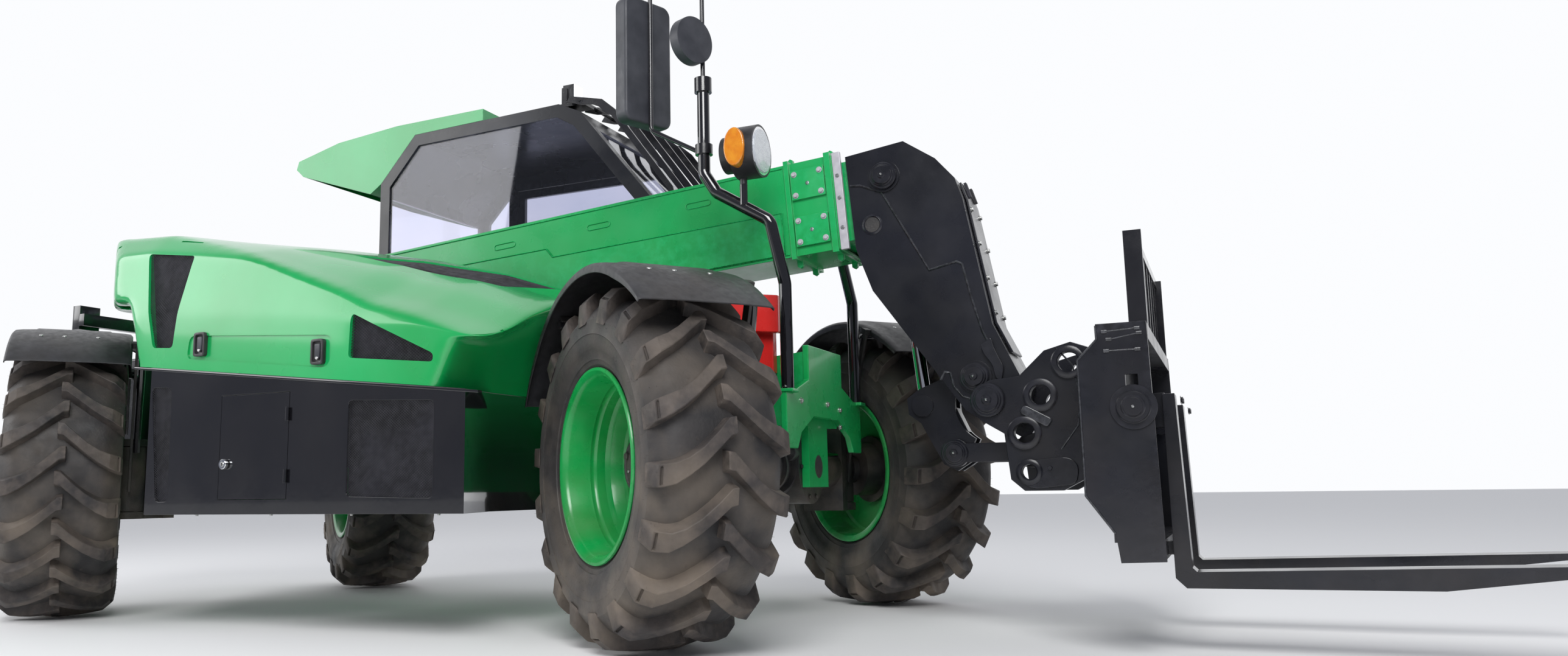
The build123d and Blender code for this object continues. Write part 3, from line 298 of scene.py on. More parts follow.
def turned(name, profile, steps=64, closed=True):
    """A ring turned about the Y axis from (y, radius) points."""
    points, faces = [], []
    count = len(profile)
    for step in range(steps):
        angle = 2 * pi * step / steps
        points += [(r * cos(angle), y, r * sin(angle)) for y, r in profile]
    runs = count if closed else count - 1
    for step in range(steps):
        a, b = step * count, (step + 1) % steps * count
        for n in range(runs):
            m = (n + 1) % count
            faces.append((a + n, a + m, b + m, b + n))
    return tidy(from_lists(name, points, faces))


def slab(name, outline, low, high, axis="Y"):
    """A plate cut from an outline. Its flat sides are at low and high along the axis."""
    turn = {"Y": lambda a, b, t: (a, t, b), "X": lambda a, b, t: (t, a, b), "Z": lambda a, b, t: (a, b, t)}[axis]
    count = len(outline)
    points = [turn(a, b, t) for t in (low, high) for a, b in outline]
    faces = [list(range(count))[::-1], list(range(count, 2 * count))]
    faces += [(n, (n + 1) % count, count + (n + 1) % count, count + n) for n in range(count)]
    return tidy(from_lists(name, points, faces))


def box(name, low, high):
    return slab(name, [(low[0], low[2]), (high[0], low[2]), (high[0], high[2]), (low[0], high[2])], low[1], high[1])


def rod(name, route, radius, sides=16, smooth=True):
    """A round rod or hose along a route of points."""
    line = bpy.data.curves.new(name, "CURVE")
    line.dimensions = "3D"
    line.bevel_depth = radius
    line.bevel_resolution = max(sides // 4 - 1, 1)
    line.use_fill_caps = True
    run = line.splines.new("NURBS" if smooth else "POLY")
    run.points.add(len(route) - 1)
    for point, at in zip(run.points, route):
        point.co = (*at, 1.0)
    if smooth:
        run.order_u = 3
        run.use_endpoint_u = True
        run.resolution_u = 6
    piece = bpy.data.objects.new(name, line)
    bpy.context.scene.collection.objects.link(piece)
    return tidy(settle(piece))


def pin(name, centre, direction, length, radius, sides=32, edge=0.002):
    """A round pin from its centre, with its two rims broken."""
    profile = [(-length / 2, 0), (-length / 2, radius - edge), (edge - length / 2, radius),
               (length / 2 - edge, radius), (length / 2, radius - edge), (length / 2, 0)]
    made = turned(name, profile, sides, closed=False)
    spin = Vector((0, 1, 0)).rotation_difference(Vector(direction)).to_matrix().to_4x4()
    return place(made, Matrix.Translation(centre) @ spin)


def cut(piece, cutter):
    """Takes one closed piece out of another."""
    taken = piece.modifiers.new("cut", "BOOLEAN")
    taken.object = cutter
    taken.solver = "EXACT"
    settle(piece)
    bpy.data.objects.remove(cutter)
    return piece


def cad_copy(node, bevel=0.003, segments=2, angle=35, name=None):
    """A clean copy of a CAD node, with its sharp edges rounded."""
    mesh = bmesh.new()
    mesh.from_mesh(frame["nodes"][node].data)
    bmesh.ops.remove_doubles(mesh, verts=mesh.verts, dist=0.00002)
    bmesh.ops.dissolve_limit(mesh, angle_limit=radians(0.6), verts=mesh.verts, edges=mesh.edges)
    data = bpy.data.meshes.new(name or node + "_skin")
    mesh.to_mesh(data)
    mesh.free()
    copy = link(name or node + "_skin", data)
    return round_edges(copy, bevel, segments, angle) if bevel else copy


def crisp(piece):
    """Keeps broad flat faces flat beside their rounded edges."""
    weigh = piece.modifiers.new("weigh", "WEIGHTED_NORMAL")
    weigh.keep_sharp = True
    return settle(piece)


def dress(node, body, slot, material, bevel=0.003, segments=2, extra=()):
    """Shows a CAD node as a rounded copy in its finish, with any extra pieces joined on."""
    skin = shade(paint(cad_copy(node, bevel, segments), material))
    whole = join(node + "_shown", [skin, *extra]) if extra else skin
    return show(crisp(whole), body, slot, node)


print("helpers ready")

# %% [markdown]
# ## Things that repeat
# Lugs stand round a tyre, bolts sit on plates, and wires cross a grille. Geometry Nodes suit all three: a
# small tree says the rule once, and its inputs give the sizes. Each result is turned into plain mesh, since
# instances would be lost on the way out.

# %% Geometry Nodes: a ring of copies, copies on marked points, and wires along edges
def start_tree(name, inputs):
    tree = bpy.data.node_groups.new(name, "GeometryNodeTree")
    tree.interface.new_socket("Geometry", in_out="INPUT", socket_type="NodeSocketGeometry")
    for label, kind in inputs:
        tree.interface.new_socket(label, in_out="INPUT", socket_type="NodeSocket" + kind)
    tree.interface.new_socket("Geometry", in_out="OUTPUT", socket_type="NodeSocketGeometry")
    return tree, tree.nodes.new("NodeGroupInput"), tree.nodes.new("NodeGroupOutput")


def end_tree(tree, source, given, out):
    real, finish_node = tree.nodes.new("GeometryNodeRealizeInstances"), tree.nodes.new("GeometryNodeSetMaterial")
    tree.links.new(source, real.inputs[0])
    tree.links.new(real.outputs[0], finish_node.inputs["Geometry"])
    tree.links.new(given.outputs["Material"], finish_node.inputs["Material"])
    tree.links.new(finish_node.outputs[0], out.inputs[0])
    return tree


def ring_tree():
    """Copies of the piece round the Y axis."""
    tree, given, out = start_tree("ring_of_copies", [("Count", "Int"), ("Material", "Material")])
    nodes, wire = tree.nodes, tree.links.new
    points, index = nodes.new("GeometryNodeMeshLine"), nodes.new("GeometryNodeInputIndex")
    points.inputs["Offset"].default_value = (0, 0, 0)
    step, angle = nodes.new("ShaderNodeMath"), nodes.new("ShaderNodeMath")
    step.operation, angle.operation = "DIVIDE", "MULTIPLY"
    step.inputs[0].default_value = 2 * pi
    turn, copies = nodes.new("ShaderNodeCombineXYZ"), nodes.new("GeometryNodeInstanceOnPoints")
    wire(given.outputs["Count"], points.inputs["Count"])
    wire(given.outputs["Count"], step.inputs[1])
    wire(step.outputs[0], angle.inputs[0])
    wire(index.outputs[0], angle.inputs[1])
    wire(angle.outputs[0], turn.inputs["Y"])
    wire(points.outputs[0], copies.inputs["Points"])
    wire(given.outputs[0], copies.inputs["Instance"])
    wire(turn.outputs[0], copies.inputs["Rotation"])
    return end_tree(tree, copies.outputs[0], given, out)


def marks_tree():
    """Copies of another piece on the points of this one, each facing along the point's facing attribute."""
    tree, given, out = start_tree("copies_on_marks", [("Piece", "Object"), ("Material", "Material")])
    nodes, wire = tree.nodes, tree.links.new
    source, copies = nodes.new("GeometryNodeObjectInfo"), nodes.new("GeometryNodeInstanceOnPoints")
    facing, align = nodes.new("GeometryNodeInputNamedAttribute"), nodes.new("FunctionNodeAlignRotationToVector")
    facing.data_type = "FLOAT_VECTOR"
    facing.inputs["Name"].default_value = "facing"
    align.axis = "Z"
    wire(given.outputs["Piece"], source.inputs["Object"])
    wire(source.outputs["Geometry"], copies.inputs["Instance"])
    wire(given.outputs[0], copies.inputs["Points"])
    wire(facing.outputs["Attribute"], align.inputs["Vector"])
    wire(align.outputs[0], copies.inputs["Rotation"])
    return end_tree(tree, copies.outputs[0], given, out)


def wires_tree():
    """A round wire along every edge."""
    tree, given, out = start_tree("wires_on_edges", [("Radius", "Float"), ("Sides", "Int"), ("Material", "Material")])
    nodes, wire = tree.nodes, tree.links.new
    lines, ring, swept = (nodes.new("GeometryNode" + kind) for kind in ("MeshToCurve", "CurvePrimitiveCircle",
                                                                        "CurveToMesh"))
    wire(given.outputs[0], lines.inputs[0])
    wire(given.outputs["Radius"], ring.inputs["Radius"])
    wire(given.outputs["Sides"], ring.inputs["Resolution"])
    wire(lines.outputs[0], swept.inputs["Curve"])
    wire(ring.outputs[0], swept.inputs["Profile Curve"])
    swept.inputs["Fill Caps"].default_value = True
    return end_tree(tree, swept.outputs[0], given, out)


def hair_tree():
    """Moulding hairs scattered over the faces, each a thin spike along the surface normal."""
    tree, given, out = start_tree("scattered_hairs", [("Density", "Float"), ("Seed", "Int"), ("Piece", "Object"),
                                                      ("Material", "Material")])
    nodes, wire = tree.nodes, tree.links.new
    scatter, copies = nodes.new("GeometryNodeDistributePointsOnFaces"), nodes.new("GeometryNodeInstanceOnPoints")
    source = nodes.new("GeometryNodeObjectInfo")
    wire(given.outputs[0], scatter.inputs["Mesh"])
    wire(given.outputs["Density"], scatter.inputs["Density"])
    wire(given.outputs["Seed"], scatter.inputs["Seed"])
    wire(given.outputs["Piece"], source.inputs["Object"])
    wire(scatter.outputs["Points"], copies.inputs["Points"])
    wire(scatter.outputs["Rotation"], copies.inputs["Rotation"])
    wire(source.outputs["Geometry"], copies.inputs["Instance"])
    return end_tree(tree, copies.outputs[0], given, out)


def run_tree(piece, tree, **values):
    """Gives a piece the tree with these inputs, and turns the result into plain mesh."""
    modifier = piece.modifiers.new(tree.name, "NODES")
    modifier.node_group = tree
    for socket in tree.interface.items_tree:
        if socket.in_out == "INPUT" and socket.name in values:
            modifier[socket.identifier] = values[socket.name]
    return settle(piece)


trees = {"ring": ring_tree(), "marks": marks_tree(), "wires": wires_tree(), "hairs": hair_tree()}


def ring_of(piece, count, material):
    return run_tree(piece, trees["ring"], Count=count, Material=materials[material])


def put_on(name, template, marks, material):
    """Copies of a template on (place, facing) marks."""
    piece = from_lists(name, [at for at, _ in marks], [])
    facing = piece.data.attributes.new("facing", "FLOAT_VECTOR", "POINT")
    for n, (_, way) in enumerate(marks):
        facing.data[n].vector = way
    return shade(run_tree(piece, trees["marks"], Piece=template, Material=materials[material]))


def wires(name, lines, radius, material, sides=4):
    """Wires along straight lines given by their two ends."""
    points = [p for line in lines for p in line]
    piece = from_lists(name, points, [], [(2 * n, 2 * n + 1) for n in range(len(lines))])
    return run_tree(piece, trees["wires"], Radius=radius, Sides=sides, Material=materials[material])


print("trees", sorted(trees))

# %% [markdown]
# ## Tyres
# A tractor tyre is a smooth carcass with tall rubber lugs that run from its middle to each shoulder. One lug is
# modelled as it would lie on an unrolled strip, wrapped onto the tyre, and the ring tree copies it. The two
# sides stand half a lug apart, which is what makes the chevron.

# %% Carcass and lugs
TYRE_R, LUGS, LUG_REACH = 0.603, 18, 0.229
SHOULDER_BAR = 0.208          # where the side starts


def tread_height(y):
    """Radius of the lugs' tops at a distance from the middle."""
    y = abs(y)
    if y < 0.185:
        return TYRE_R - 0.015 * (y / 0.185) ** 2
    if y < 0.222:
        return 0.588 - 0.038 * (y - 0.185) / 0.037
    return 0.55 - 0.062 * (y - 0.222) / 0.008


def base_height(y):
    """Radius of the carcass between the lugs."""
    y = abs(y)
    if y < 0.15:
        return 0.560 - 0.010 * (y / 0.15) ** 2
    return 0.550 - 0.072 * ((y - 0.15) / 0.078) ** 1.6


def lug():
    """One lug, wrapped onto the tyre about the Y axis. It leads at the middle and trails at the shoulder."""
    stations = [(-0.018, 0.0, 0.026), (0.004, 0.004, 0.027), (0.045, 0.044, 0.025), (0.095, 0.090, 0.025),
                (0.140, 0.122, 0.027), (0.180, 0.142, 0.031), (0.208, 0.150, 0.035), (0.222, 0.153, 0.036),
                (LUG_REACH, 0.154, 0.034)]
    points, faces = [], []
    for y, lag, half in stations:
        top, low = tread_height(y), base_height(y) - 0.006
        draft = 0.011
        for arc, r in ((-half - draft, low), (-half, top), (half, top), (half + draft, low)):
            angle = -(lag + arc) / TYRE_R
            points.append((r * cos(angle), y, r * sin(angle)))
    for n in range(len(stations) - 1):
        a, b = 4 * n, 4 * n + 4
        faces += [(a + k, a + (k + 1) % 4, b + (k + 1) % 4, b + k) for k in range(4)]
    last = 4 * (len(stations) - 1)
    faces += [(0, 1, 2, 3), (last, last + 1, last + 2, last + 3)]
    made = tidy(from_lists("lug", points, faces))
    # a shallow pocket in the shoulder block
    mesh = bmesh.new()
    mesh.from_mesh(made.data)
    shoulder = [f for f in mesh.faces if SHOULDER_BAR < f.calc_center_median().y < SHOULDER_BAR + 0.015
                and Vector((f.calc_center_median().x, 0, f.calc_center_median().z)).length > 0.53]
    bmesh.ops.inset_individual(mesh, faces=shoulder, thickness=0.0075, depth=0.0)
    bmesh.ops.inset_individual(mesh, faces=shoulder, thickness=0.002, depth=-0.009)
    mesh.to_mesh(made.data)
    mesh.free()
    return round_edges(made, 0.003, 1, 30)


def carcass():
    side = [(0.183, 0.3055), (0.191, 0.3285), (0.199, 0.336), (0.203, 0.350), (0.207, 0.352), (0.209, 0.366),
            (0.2165, 0.385), (0.2185, 0.388), (0.2225, 0.410), (0.2245, 0.434), (0.2265, 0.437), (0.2245, 0.441)]
    side += [(y, base_height(y)) for y in (0.2235, 0.214, 0.202, 0.188, 0.17, 0.15, 0.11, 0.06)]
    inner = [(0.165, 0.3055), (0.172, 0.345), (0.196, 0.400), (0.200, 0.460), (0.190, 0.520), (0.150, 0.540)]
    profile = side + [(-y, r) for y, r in side[::-1]] + [(-y, r) for y, r in inner] + inner[::-1]
    return shade(paint(turned("carcass", profile, 144), "rubber"), 28)


def tyre():
    left, right = lug(), lug()
    place(right, Matrix.Scale(-1, 4, (0, 1, 0)))
    place(right, Matrix.Rotation(pi / LUGS, 4, "Y"))
    rings = [shade(ring_of(side, LUGS, "lug_rubber"), 30) for side in (left, right)]
    # low bars between the lugs, and ribs round the sidewall
    bars = []
    for hand in (1, -1):
        for n in range(2):
            bar = slab("low_bar", [(0.548, -0.006), (0.556, -0.006), (0.556, 0.006), (0.548, 0.006)],
                       hand * 0.02, hand * 0.10)
            bars.append(place(bar, Matrix.Rotation(0.06 + 0.17 * n, 4, "Y")))
    bar_ring = ring_of(join("low_bars", bars), LUGS, "rubber")
    return join("tyre_shape", [carcass(), *rings, bar_ring])


tyre_shape = tyre()
print("tyre", len(tyre_shape.data.polygons), "faces")

# %% [markdown]
# ## Moulding hairs
# New tyres carry thin rubber hairs where air left the mould. They are only scattered spikes, but they break
# up the outline as the real ones do. The tree scatters them over the sidewall and the lugs with a fixed seed.

# %% Hairs
HAIRS_PER_SQUARE_METRE = 420


def hairs():
    spike = from_lists("spike", [(0.0005, 0, 0), (-0.0003, 0.0004, 0), (-0.0003, -0.0004, 0), (0.0015, 0.001, 0.010)],
                       [(0, 1, 3), (1, 2, 3), (2, 0, 3), (0, 2, 1)])
    skin = tyre_shape.copy()
    skin.data = tyre_shape.data.copy()
    bpy.context.scene.collection.objects.link(skin)
    mesh = bmesh.new()
    mesh.from_mesh(skin.data)
    hidden = [f for f in mesh.faces if sqrt(f.calc_center_median().x ** 2 + f.calc_center_median().z ** 2) > 0.585
              or abs(f.calc_center_median().y) < 0.19
              or f.normal.dot(Vector((0, f.calc_center_median().y, 0))) < 0]
    bmesh.ops.delete(mesh, geom=hidden, context="FACES")
    mesh.to_mesh(skin.data)
    mesh.free()
    made = run_tree(skin, trees["hairs"], Density=float(HAIRS_PER_SQUARE_METRE), Seed=7, Piece=spike,
                    Material=materials["rubber"])
    bpy.data.objects.remove(spike)
    return made


tyre_shape = join("tyre_shape", [tyre_shape, hairs()])
print("with hairs", len(tyre_shape.data.polygons), "faces")

# %% [markdown]
# ## Rims and hubs
# The rim is pressed and rolled steel, so it is one turned profile: a lip, a stepped barrel and a ridged disc
# far inside. The hub that shows through it is a black casting with three plugs and a ring of bolts.

# %% Rim, hub, nuts and valve
FLANGE_R, DISC_AT, NUTS = 0.326, 0.035, 10


def rim_shape():
    profile = [(-0.205, 0.315), (-0.204, 0.324), (-0.199, FLANGE_R), (-0.195, 0.325), (-0.189, 0.311), (-0.184, 0.305),
               (0.184, 0.305), (0.189, 0.311), (0.195, 0.325), (0.199, FLANGE_R), (0.204, 0.324), (0.205, 0.315),
               (0.198, 0.299), (0.188, 0.294), (0.060, 0.289), (0.050, 0.280), (0.047, 0.250), (0.047, 0.113),
               (DISC_AT, 0.113), (DISC_AT, 0.165), (0.030, 0.175), (0.012, 0.190), (0.010, 0.200), (0.014, 0.212),
               (0.016, 0.235), (0.008, 0.247), (-0.020, 0.256), (-0.034, 0.262), (-0.040, 0.272), (-0.048, 0.279),
               (-0.078, 0.282), (-0.086, 0.288), (-0.094, 0.289), (-0.102, 0.286), (-0.112, 0.288),
               (-0.180, 0.294), (-0.190, 0.297), (-0.200, 0.305)]
    return shade(paint(turned("rim_shape", profile, 128), "rim_green"), 30)


def hub_shape():
    drum = [(-0.058, 0.0), (-0.058, 0.052), (-0.054, 0.056), (-0.054, 0.074), (-0.058, 0.078), (-0.056, 0.086),
            (-0.046, 0.095), (-0.034, 0.099), (-0.020, 0.100), (-0.014, 0.106), (0.030, 0.109), (0.034, 0.111),
            (0.047, 0.111), (0.047, 0.150), (0.069, 0.150), (0.069, 0.120), (0.160, 0.118), (0.162, 0.062),
            (0.072, 0.062), (0.072, 0.0)]
    pieces = [shade(paint(turned("hub_drum", drum, 72, closed=False), "cast_black"))]
    for n in range(3):
        angle = radians(30 + 120 * n)
        at = (0.064 * cos(angle), -0.060, 0.064 * sin(angle))
        pieces.append(shade(paint(pin("hub_plug", at, (0, 1, 0), 0.012, 0.013), "cast_black")))
        dot = (0.042 * cos(angle + 1), -0.0605, 0.042 * sin(angle + 1))
        pieces.append(shade(paint(pin("hub_screw", dot, (0, 1, 0), 0.008, 0.0055, 6), "zinc")))
    ribs = [box("rib", (0.098, -0.030, -0.004), (0.107, 0.020, 0.004))]
    pieces.append(shade(ring_of(join("hub_rib", ribs), 12, "cast_black")))
    return join("hub_shape", pieces)


def nut_ring():
    nut = slab("nut", [(0.130 + 0.0145 * cos(pi * k / 3), 0.0145 * sin(pi * k / 3)) for k in range(6)], 0.016, 0.034)
    stud = pin("stud", (0.130, 0.010, 0), (0, 1, 0), 0.016, 0.008, 12)
    return shade(ring_of(join("nut", [round_edges(nut, 0.0015, 1), stud]), NUTS, "zinc"))


def valve():
    """A stem in a half-round guard on the barrel."""
    arch = [(0.030 * cos(a * pi / 6), -0.070 + 0.036 * sin(a * pi / 6), -0.2865) for a in range(7)]
    arch = [(x, y - 0.01, z + 0.008) for x, y, z in arch]
    guard = shade(paint(rod("guard", arch, 0.0035, 8), "rim_green"))
    stem = shade(paint(pin("stem", (0.0, -0.075, -0.268), (0.1, -0.25, 1), 0.034, 0.0042, 10), "alloy_strip"))
    cap = shade(paint(pin("cap", (0.0015, -0.080, -0.247), (0.1, -0.25, 1), 0.012, 0.0055, 10), "plastic_black"))
    made = join("valve", [guard, stem, cap])
    return place(made, Matrix.Rotation(radians(-28), 4, "Y"))


wheel_parts = {"tyre": (tyre_shape, "tyre"), "rim": (join("rim_all", [rim_shape(), valve()]), "rim_green"),
               "hub": (hub_shape(), "cast_iron"), "nuts": (nut_ring(), "steel")}
corners = [(end, side) for end in ("front", "rear") for side in ("right", "left")]
for end, side in corners:
    joint = joints[f"wheel_spin_{end}_{side}"]
    axle = Vector(joint["axis"])
    seat_on_axle = Matrix.Translation(joint["pos_m"]) @ Matrix.Rotation(atan2(-axle.x, axle.y), 4, "Z")
    inside_out = Matrix.Rotation(pi, 4, "Z") if side == "left" else Matrix.Identity(4)
    for kind, (shape, finish_slot) in wheel_parts.items():
        copy = link(f"{kind}_{end}_{side}_shown", shape.data.copy())
        place(copy, seat_on_axle @ (inside_out if kind != "tyre" else Matrix.Identity(4)))
        replaced = [f"{kind}_{end}_{side}"] if kind in ("tyre", "rim") else []
        show(copy, f"wheel_{end}_{side}", finish_slot, *replaced)
for shape, _ in wheel_parts.values():
    bpy.data.objects.remove(shape)
print("four wheels of", list(wheel_parts))

# %% [markdown]
# ## Fenders and steering knuckles
# Each fender is a moulded shell with turned-down lips, carried by a bent tube that turns with the knuckle.
# The shell is a grid over an arc, given its wall afterwards. The knuckle is the CAD casting, rounded.

# %% Fenders
FENDER_R, FENDER_WALL = 0.670, 0.005
KINGPIN_TO_WHEEL = 0.25


def fender():
    """Built about the right-hand kingpin, outboard towards -Y."""
    across = [(-0.237, -0.034), (-0.236, -0.012), (-0.228, -0.003), (-0.205, 0.0), (-0.15, 0.003), (-0.142, 0.007),
              (0.142, 0.007), (0.15, 0.003), (0.205, 0.0), (0.228, -0.003), (0.236, -0.012), (0.237, -0.034)]
    stations = 40
    points, faces = [], []
    for n in range(stations + 1):
        share = n / stations
        angle = radians(47 + 112 * share)
        lift = 0.006 * sin(pi * share)
        for y, rise in across:
            r = FENDER_R + rise * (0.4 + 0.6 * min(1.0, 6 * share, 6 * (1 - share))) + lift - 0.004
            points.append((r * cos(angle), y - KINGPIN_TO_WHEEL, r * sin(angle)))
    width = len(across)
    for n in range(stations):
        for k in range(width - 1):
            a = n * width + k
            faces.append((a, a + 1, a + width + 1, a + width))
    made = from_lists("fender_shell", points, faces)
    solid = made.modifiers.new("wall", "SOLIDIFY")
    solid.thickness = FENDER_WALL
    solid.offset = 0
    made = shade(paint(tidy(round_edges(made, 0.0015, 1)), "plastic_black"))
    marks = [((0.668 * cos(radians(a)), y - KINGPIN_TO_WHEEL, 0.668 * sin(radians(a)) + 0.004),
              (cos(radians(a)), 0, sin(radians(a)))) for a in (66, 125) for y in (-0.12, -0.03, 0.10)]
    return join("fender_all", [made, put_on("fender_bolts", bolt, marks, "zinc")])


def bracket():
    """The bent tubes under the shell."""
    upper = [(0.262, -0.455, 0.585), (0.262, -0.24, 0.592), (0.258, -0.05, 0.588), (0.250, 0.028, 0.575),
             (0.226, 0.034, 0.47), (0.180, 0.030, 0.30), (0.120, 0.030, 0.12)]
    rear = [(-0.368, -0.44, 0.522), (-0.366, -0.2, 0.528), (-0.360, -0.02, 0.52), (-0.345, 0.03, 0.50),
            (-0.26, 0.034, 0.36), (-0.14, 0.030, 0.13)]
    return [shade(paint(rod("tube", route, 0.015, 12), "black_paint")) for route in (upper, rear)]


def hex_bolt(radius=0.009, height=0.007):
    """A hexagon head on its washer, standing on the origin along +Z."""
    head = slab("head", [(radius * cos(pi * k / 3), radius * sin(pi * k / 3)) for k in range(6)], 0.0015,
                0.0015 + height, "Z")
    washer = slab("washer", [(1.35 * radius * cos(pi * k / 8), 1.35 * radius * sin(pi * k / 8)) for k in range(16)],
                  0.0, 0.0016, "Z")
    return join("bolt", [round_edges(head, 0.0012, 1), washer])


bolt = hex_bolt()
small_bolt = hex_bolt(0.006, 0.005)
fender_shape = fender()
bracket_tubes = join("bracket_tubes", bracket())
for end, side in corners:
    joint = joints[f"steer_{end}_{side}"]
    spin = joints[f"wheel_spin_{end}_{side}"]
    turn = atan2(-spin["axis"][0], spin["axis"][1])
    mirrored = Matrix.Scale(-1, 4, (0, 1, 0)) if side == "left" else Matrix.Identity(4)
    at_kingpin = Matrix.Translation(joint["pos_m"]) @ Matrix.Rotation(turn, 4, "Z") @ mirrored
    shell = place(link(f"fender_{end}_{side}_shown", fender_shape.data.copy()), at_kingpin)
    show(shell, f"knuckle_{end}_{side}", "black_plastic", f"fender_{end}_{side}")
    tubes = place(link(f"bracket_{end}_{side}", bracket_tubes.data.copy()), at_kingpin)
    dress(f"knuckle_{end}_{side}", f"knuckle_{end}_{side}", "cast_iron", "cast_black", 0.004, extra=[tubes])
bpy.data.objects.remove(fender_shape)
bpy.data.objects.remove(bracket_tubes)
print("fenders", FENDER_R, "m round")

# %% [markdown]
# ## Axles
# The axle is a casting with a bulged housing. CAD gives its true size, so it is only rounded, and the bolts of
# its housing, its steering cylinder and its hoses are added.

# %% Axles
def axle_details(x):
    housing = [((x + 0.119 * s, 0.122 * cos(a), 0.603 + 0.122 * sin(a)), (s, 0, 0)) for s in (-1, 1)
               for a in [pi * k / 5 for k in range(10)]]
    bolts = put_on("housing_bolts", bolt, housing, "cast_black")
    ribs = [shade(paint(turned("rib", [(s * 0.21, 0.088), (s * 0.21, 0.104), (s * 0.23, 0.104), (s * 0.23, 0.088)]),
                        "cast_black")) for s in (-1, 1)]
    for rib in ribs:
        place(rib, Matrix.Translation((x, 0, 0.603)))
    front = x + 0.088
    ram = shade(paint(pin("ram", (front, 0, 0.655), (0, 1, 0), 0.36, 0.032), "cast_black"))
    rods = [shade(paint(pin("ram_rod", (front, s * 0.28, 0.655), (0, 1, 0), 0.22, 0.014), "chrome")) for s in (-1, 1)]
    hose = [shade(paint(rod("hose", [(front, s * 0.12, 0.69), (front - 0.01, s * 0.13, 0.74), (x - 0.02, s * 0.12, 0.77),
                                     (x - 0.09, s * 0.09, 0.80)], 0.009, 8), "plastic_black")) for s in (-1, 1)]
    return [bolts, *ribs, ram, *rods, *hose]


for end, x in (("front", 1.5), ("rear", -1.5)):
    dress(f"{end}_axle", f"{end}_axle", "cast_iron", "cast_black", 0.008, extra=axle_details(x))
print("axles dressed")

# %% [markdown]
# ## The hood
# The engine hood is one moulded shell, rounded everywhere. Three outlines say its shape: from the side, from
# above and from the end. Their common solid is remeshed into even quads and smoothed, which rolls every corner
# over like a moulding. Then the lower edge and the side by the boom are trimmed, and the skin gets its wall.

# %% Outlines of the engine side
POD_Y, INNER_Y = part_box("service_box")[0].y, -0.33
SPLIT_SLOPE, SPLIT_AT = -0.1047, (-0.9, 1.05)
HOOD_WALL, HOOD_CELL = 0.006, 0.014


def split_z(x):
    return SPLIT_AT[1] + (x - SPLIT_AT[0]) * SPLIT_SLOPE


# the hood's ridge in x and z, how far the top falls away outwards from it, and how much of that fall applies along x
TOP_LINE = [(-1.44, 1.69), (-0.88, 1.668), (-0.36, 1.598), (0.153, 1.500), (0.516, 1.404), (0.788, 1.312),
            (0.95, 1.25)]
CROWN = [(-1.2, 0.29), (-1.0, 0.20), (-0.85, 0.115), (-0.7, 0.055), (-0.5, 0.0), (0.0, 0.0)]
CROWN_SHARE = [(-1.5, 0.12), (-0.9, 0.2), (-0.36, 0.5), (0.3, 1.0), (1.0, 1.0)]


def between(line, at):
    """The value of a line of (place, value) at a place."""
    for (a, low), (b, high) in zip(line, line[1:]):
        if at <= b:
            return low + (high - low) * (at - a) / (b - a)
    return line[-1][1]


def top_z(x, y):
    """Height of the hood's top."""
    return between(TOP_LINE, x) - between(CROWN, y) * between(CROWN_SHARE, x)


hood_side = [(-0.872, 0.80), (-0.890, 1.049), (-0.985, 1.345), (-1.44, 1.365), *TOP_LINE[:-1],
             (0.856, 1.277), (0.868, 1.25),
             (0.834, 1.20), (0.764, 1.105), (0.69, 0.99), (0.645, 0.888), (0.62, 0.80)]
hood_plan = [(-0.90, POD_Y), (-1.08, -1.102), (-1.43, -0.84), (-1.44, -0.2), (0.893, -0.2), (0.893, -0.80),
             (0.835, -1.082), (0.775, POD_Y)]
hood_end = [(POD_Y, 0.7), (POD_Y, 1.29), (-1.078, 1.57), (-0.94, 1.71), (-0.2, 1.77), (-0.2, 0.7)]
arch = [(-1.6, 0.7), (-0.78, 0.7), (-0.78, 0.9), (-0.80, 1.15), (-0.96, 1.345), (-1.6, 1.345)]


def smooth_solid():
    body = slab("hood_body", hood_side, -1.3, -0.1)
    for cutter in (slab("plan", hood_plan, 0.6, 1.9, "Z"), slab("end", hood_end, -1.6, 1.1, "X")):
        common = body.modifiers.new("common", "BOOLEAN")
        common.operation = "INTERSECT"
        common.object = cutter
        settle(body)
        bpy.data.objects.remove(cutter)
    cells = body.modifiers.new("cells", "REMESH")
    cells.mode = "VOXEL"
    cells.voxel_size = HOOD_CELL
    settle(body)
    for vertex in body.data.vertices:
        x, y, z = vertex.co
        ridge, foot = between(TOP_LINE, x), 1.05
        vertex.co.z -= (ridge - top_z(x, y)) * max(0.0, min(1.0, (z - foot) / (ridge - foot)))
    rolled = body.modifiers.new("rolled", "SMOOTH")
    rolled.iterations = 34
    rolled.factor = 0.5
    return settle(body)


def near_outline(x, z, outline, gap=0.002):
    """Is (x, z) on the outline?"""
    for (ax, az), (bx, bz) in zip(outline, outline[1:] + outline[:1]):
        run = Vector((bx - ax, bz - az))
        share = max(0.0, min(1.0, (Vector((x - ax, z - az)).dot(run)) / run.length_squared))
        if (Vector((ax, az)) + run * share - Vector((x, z))).length < gap:
            return True
    return False


def side_y(z):
    """Depth of the hood's outer side at a height."""
    return POD_Y + 0.008 + max(0.0, z - 1.28) * 0.16


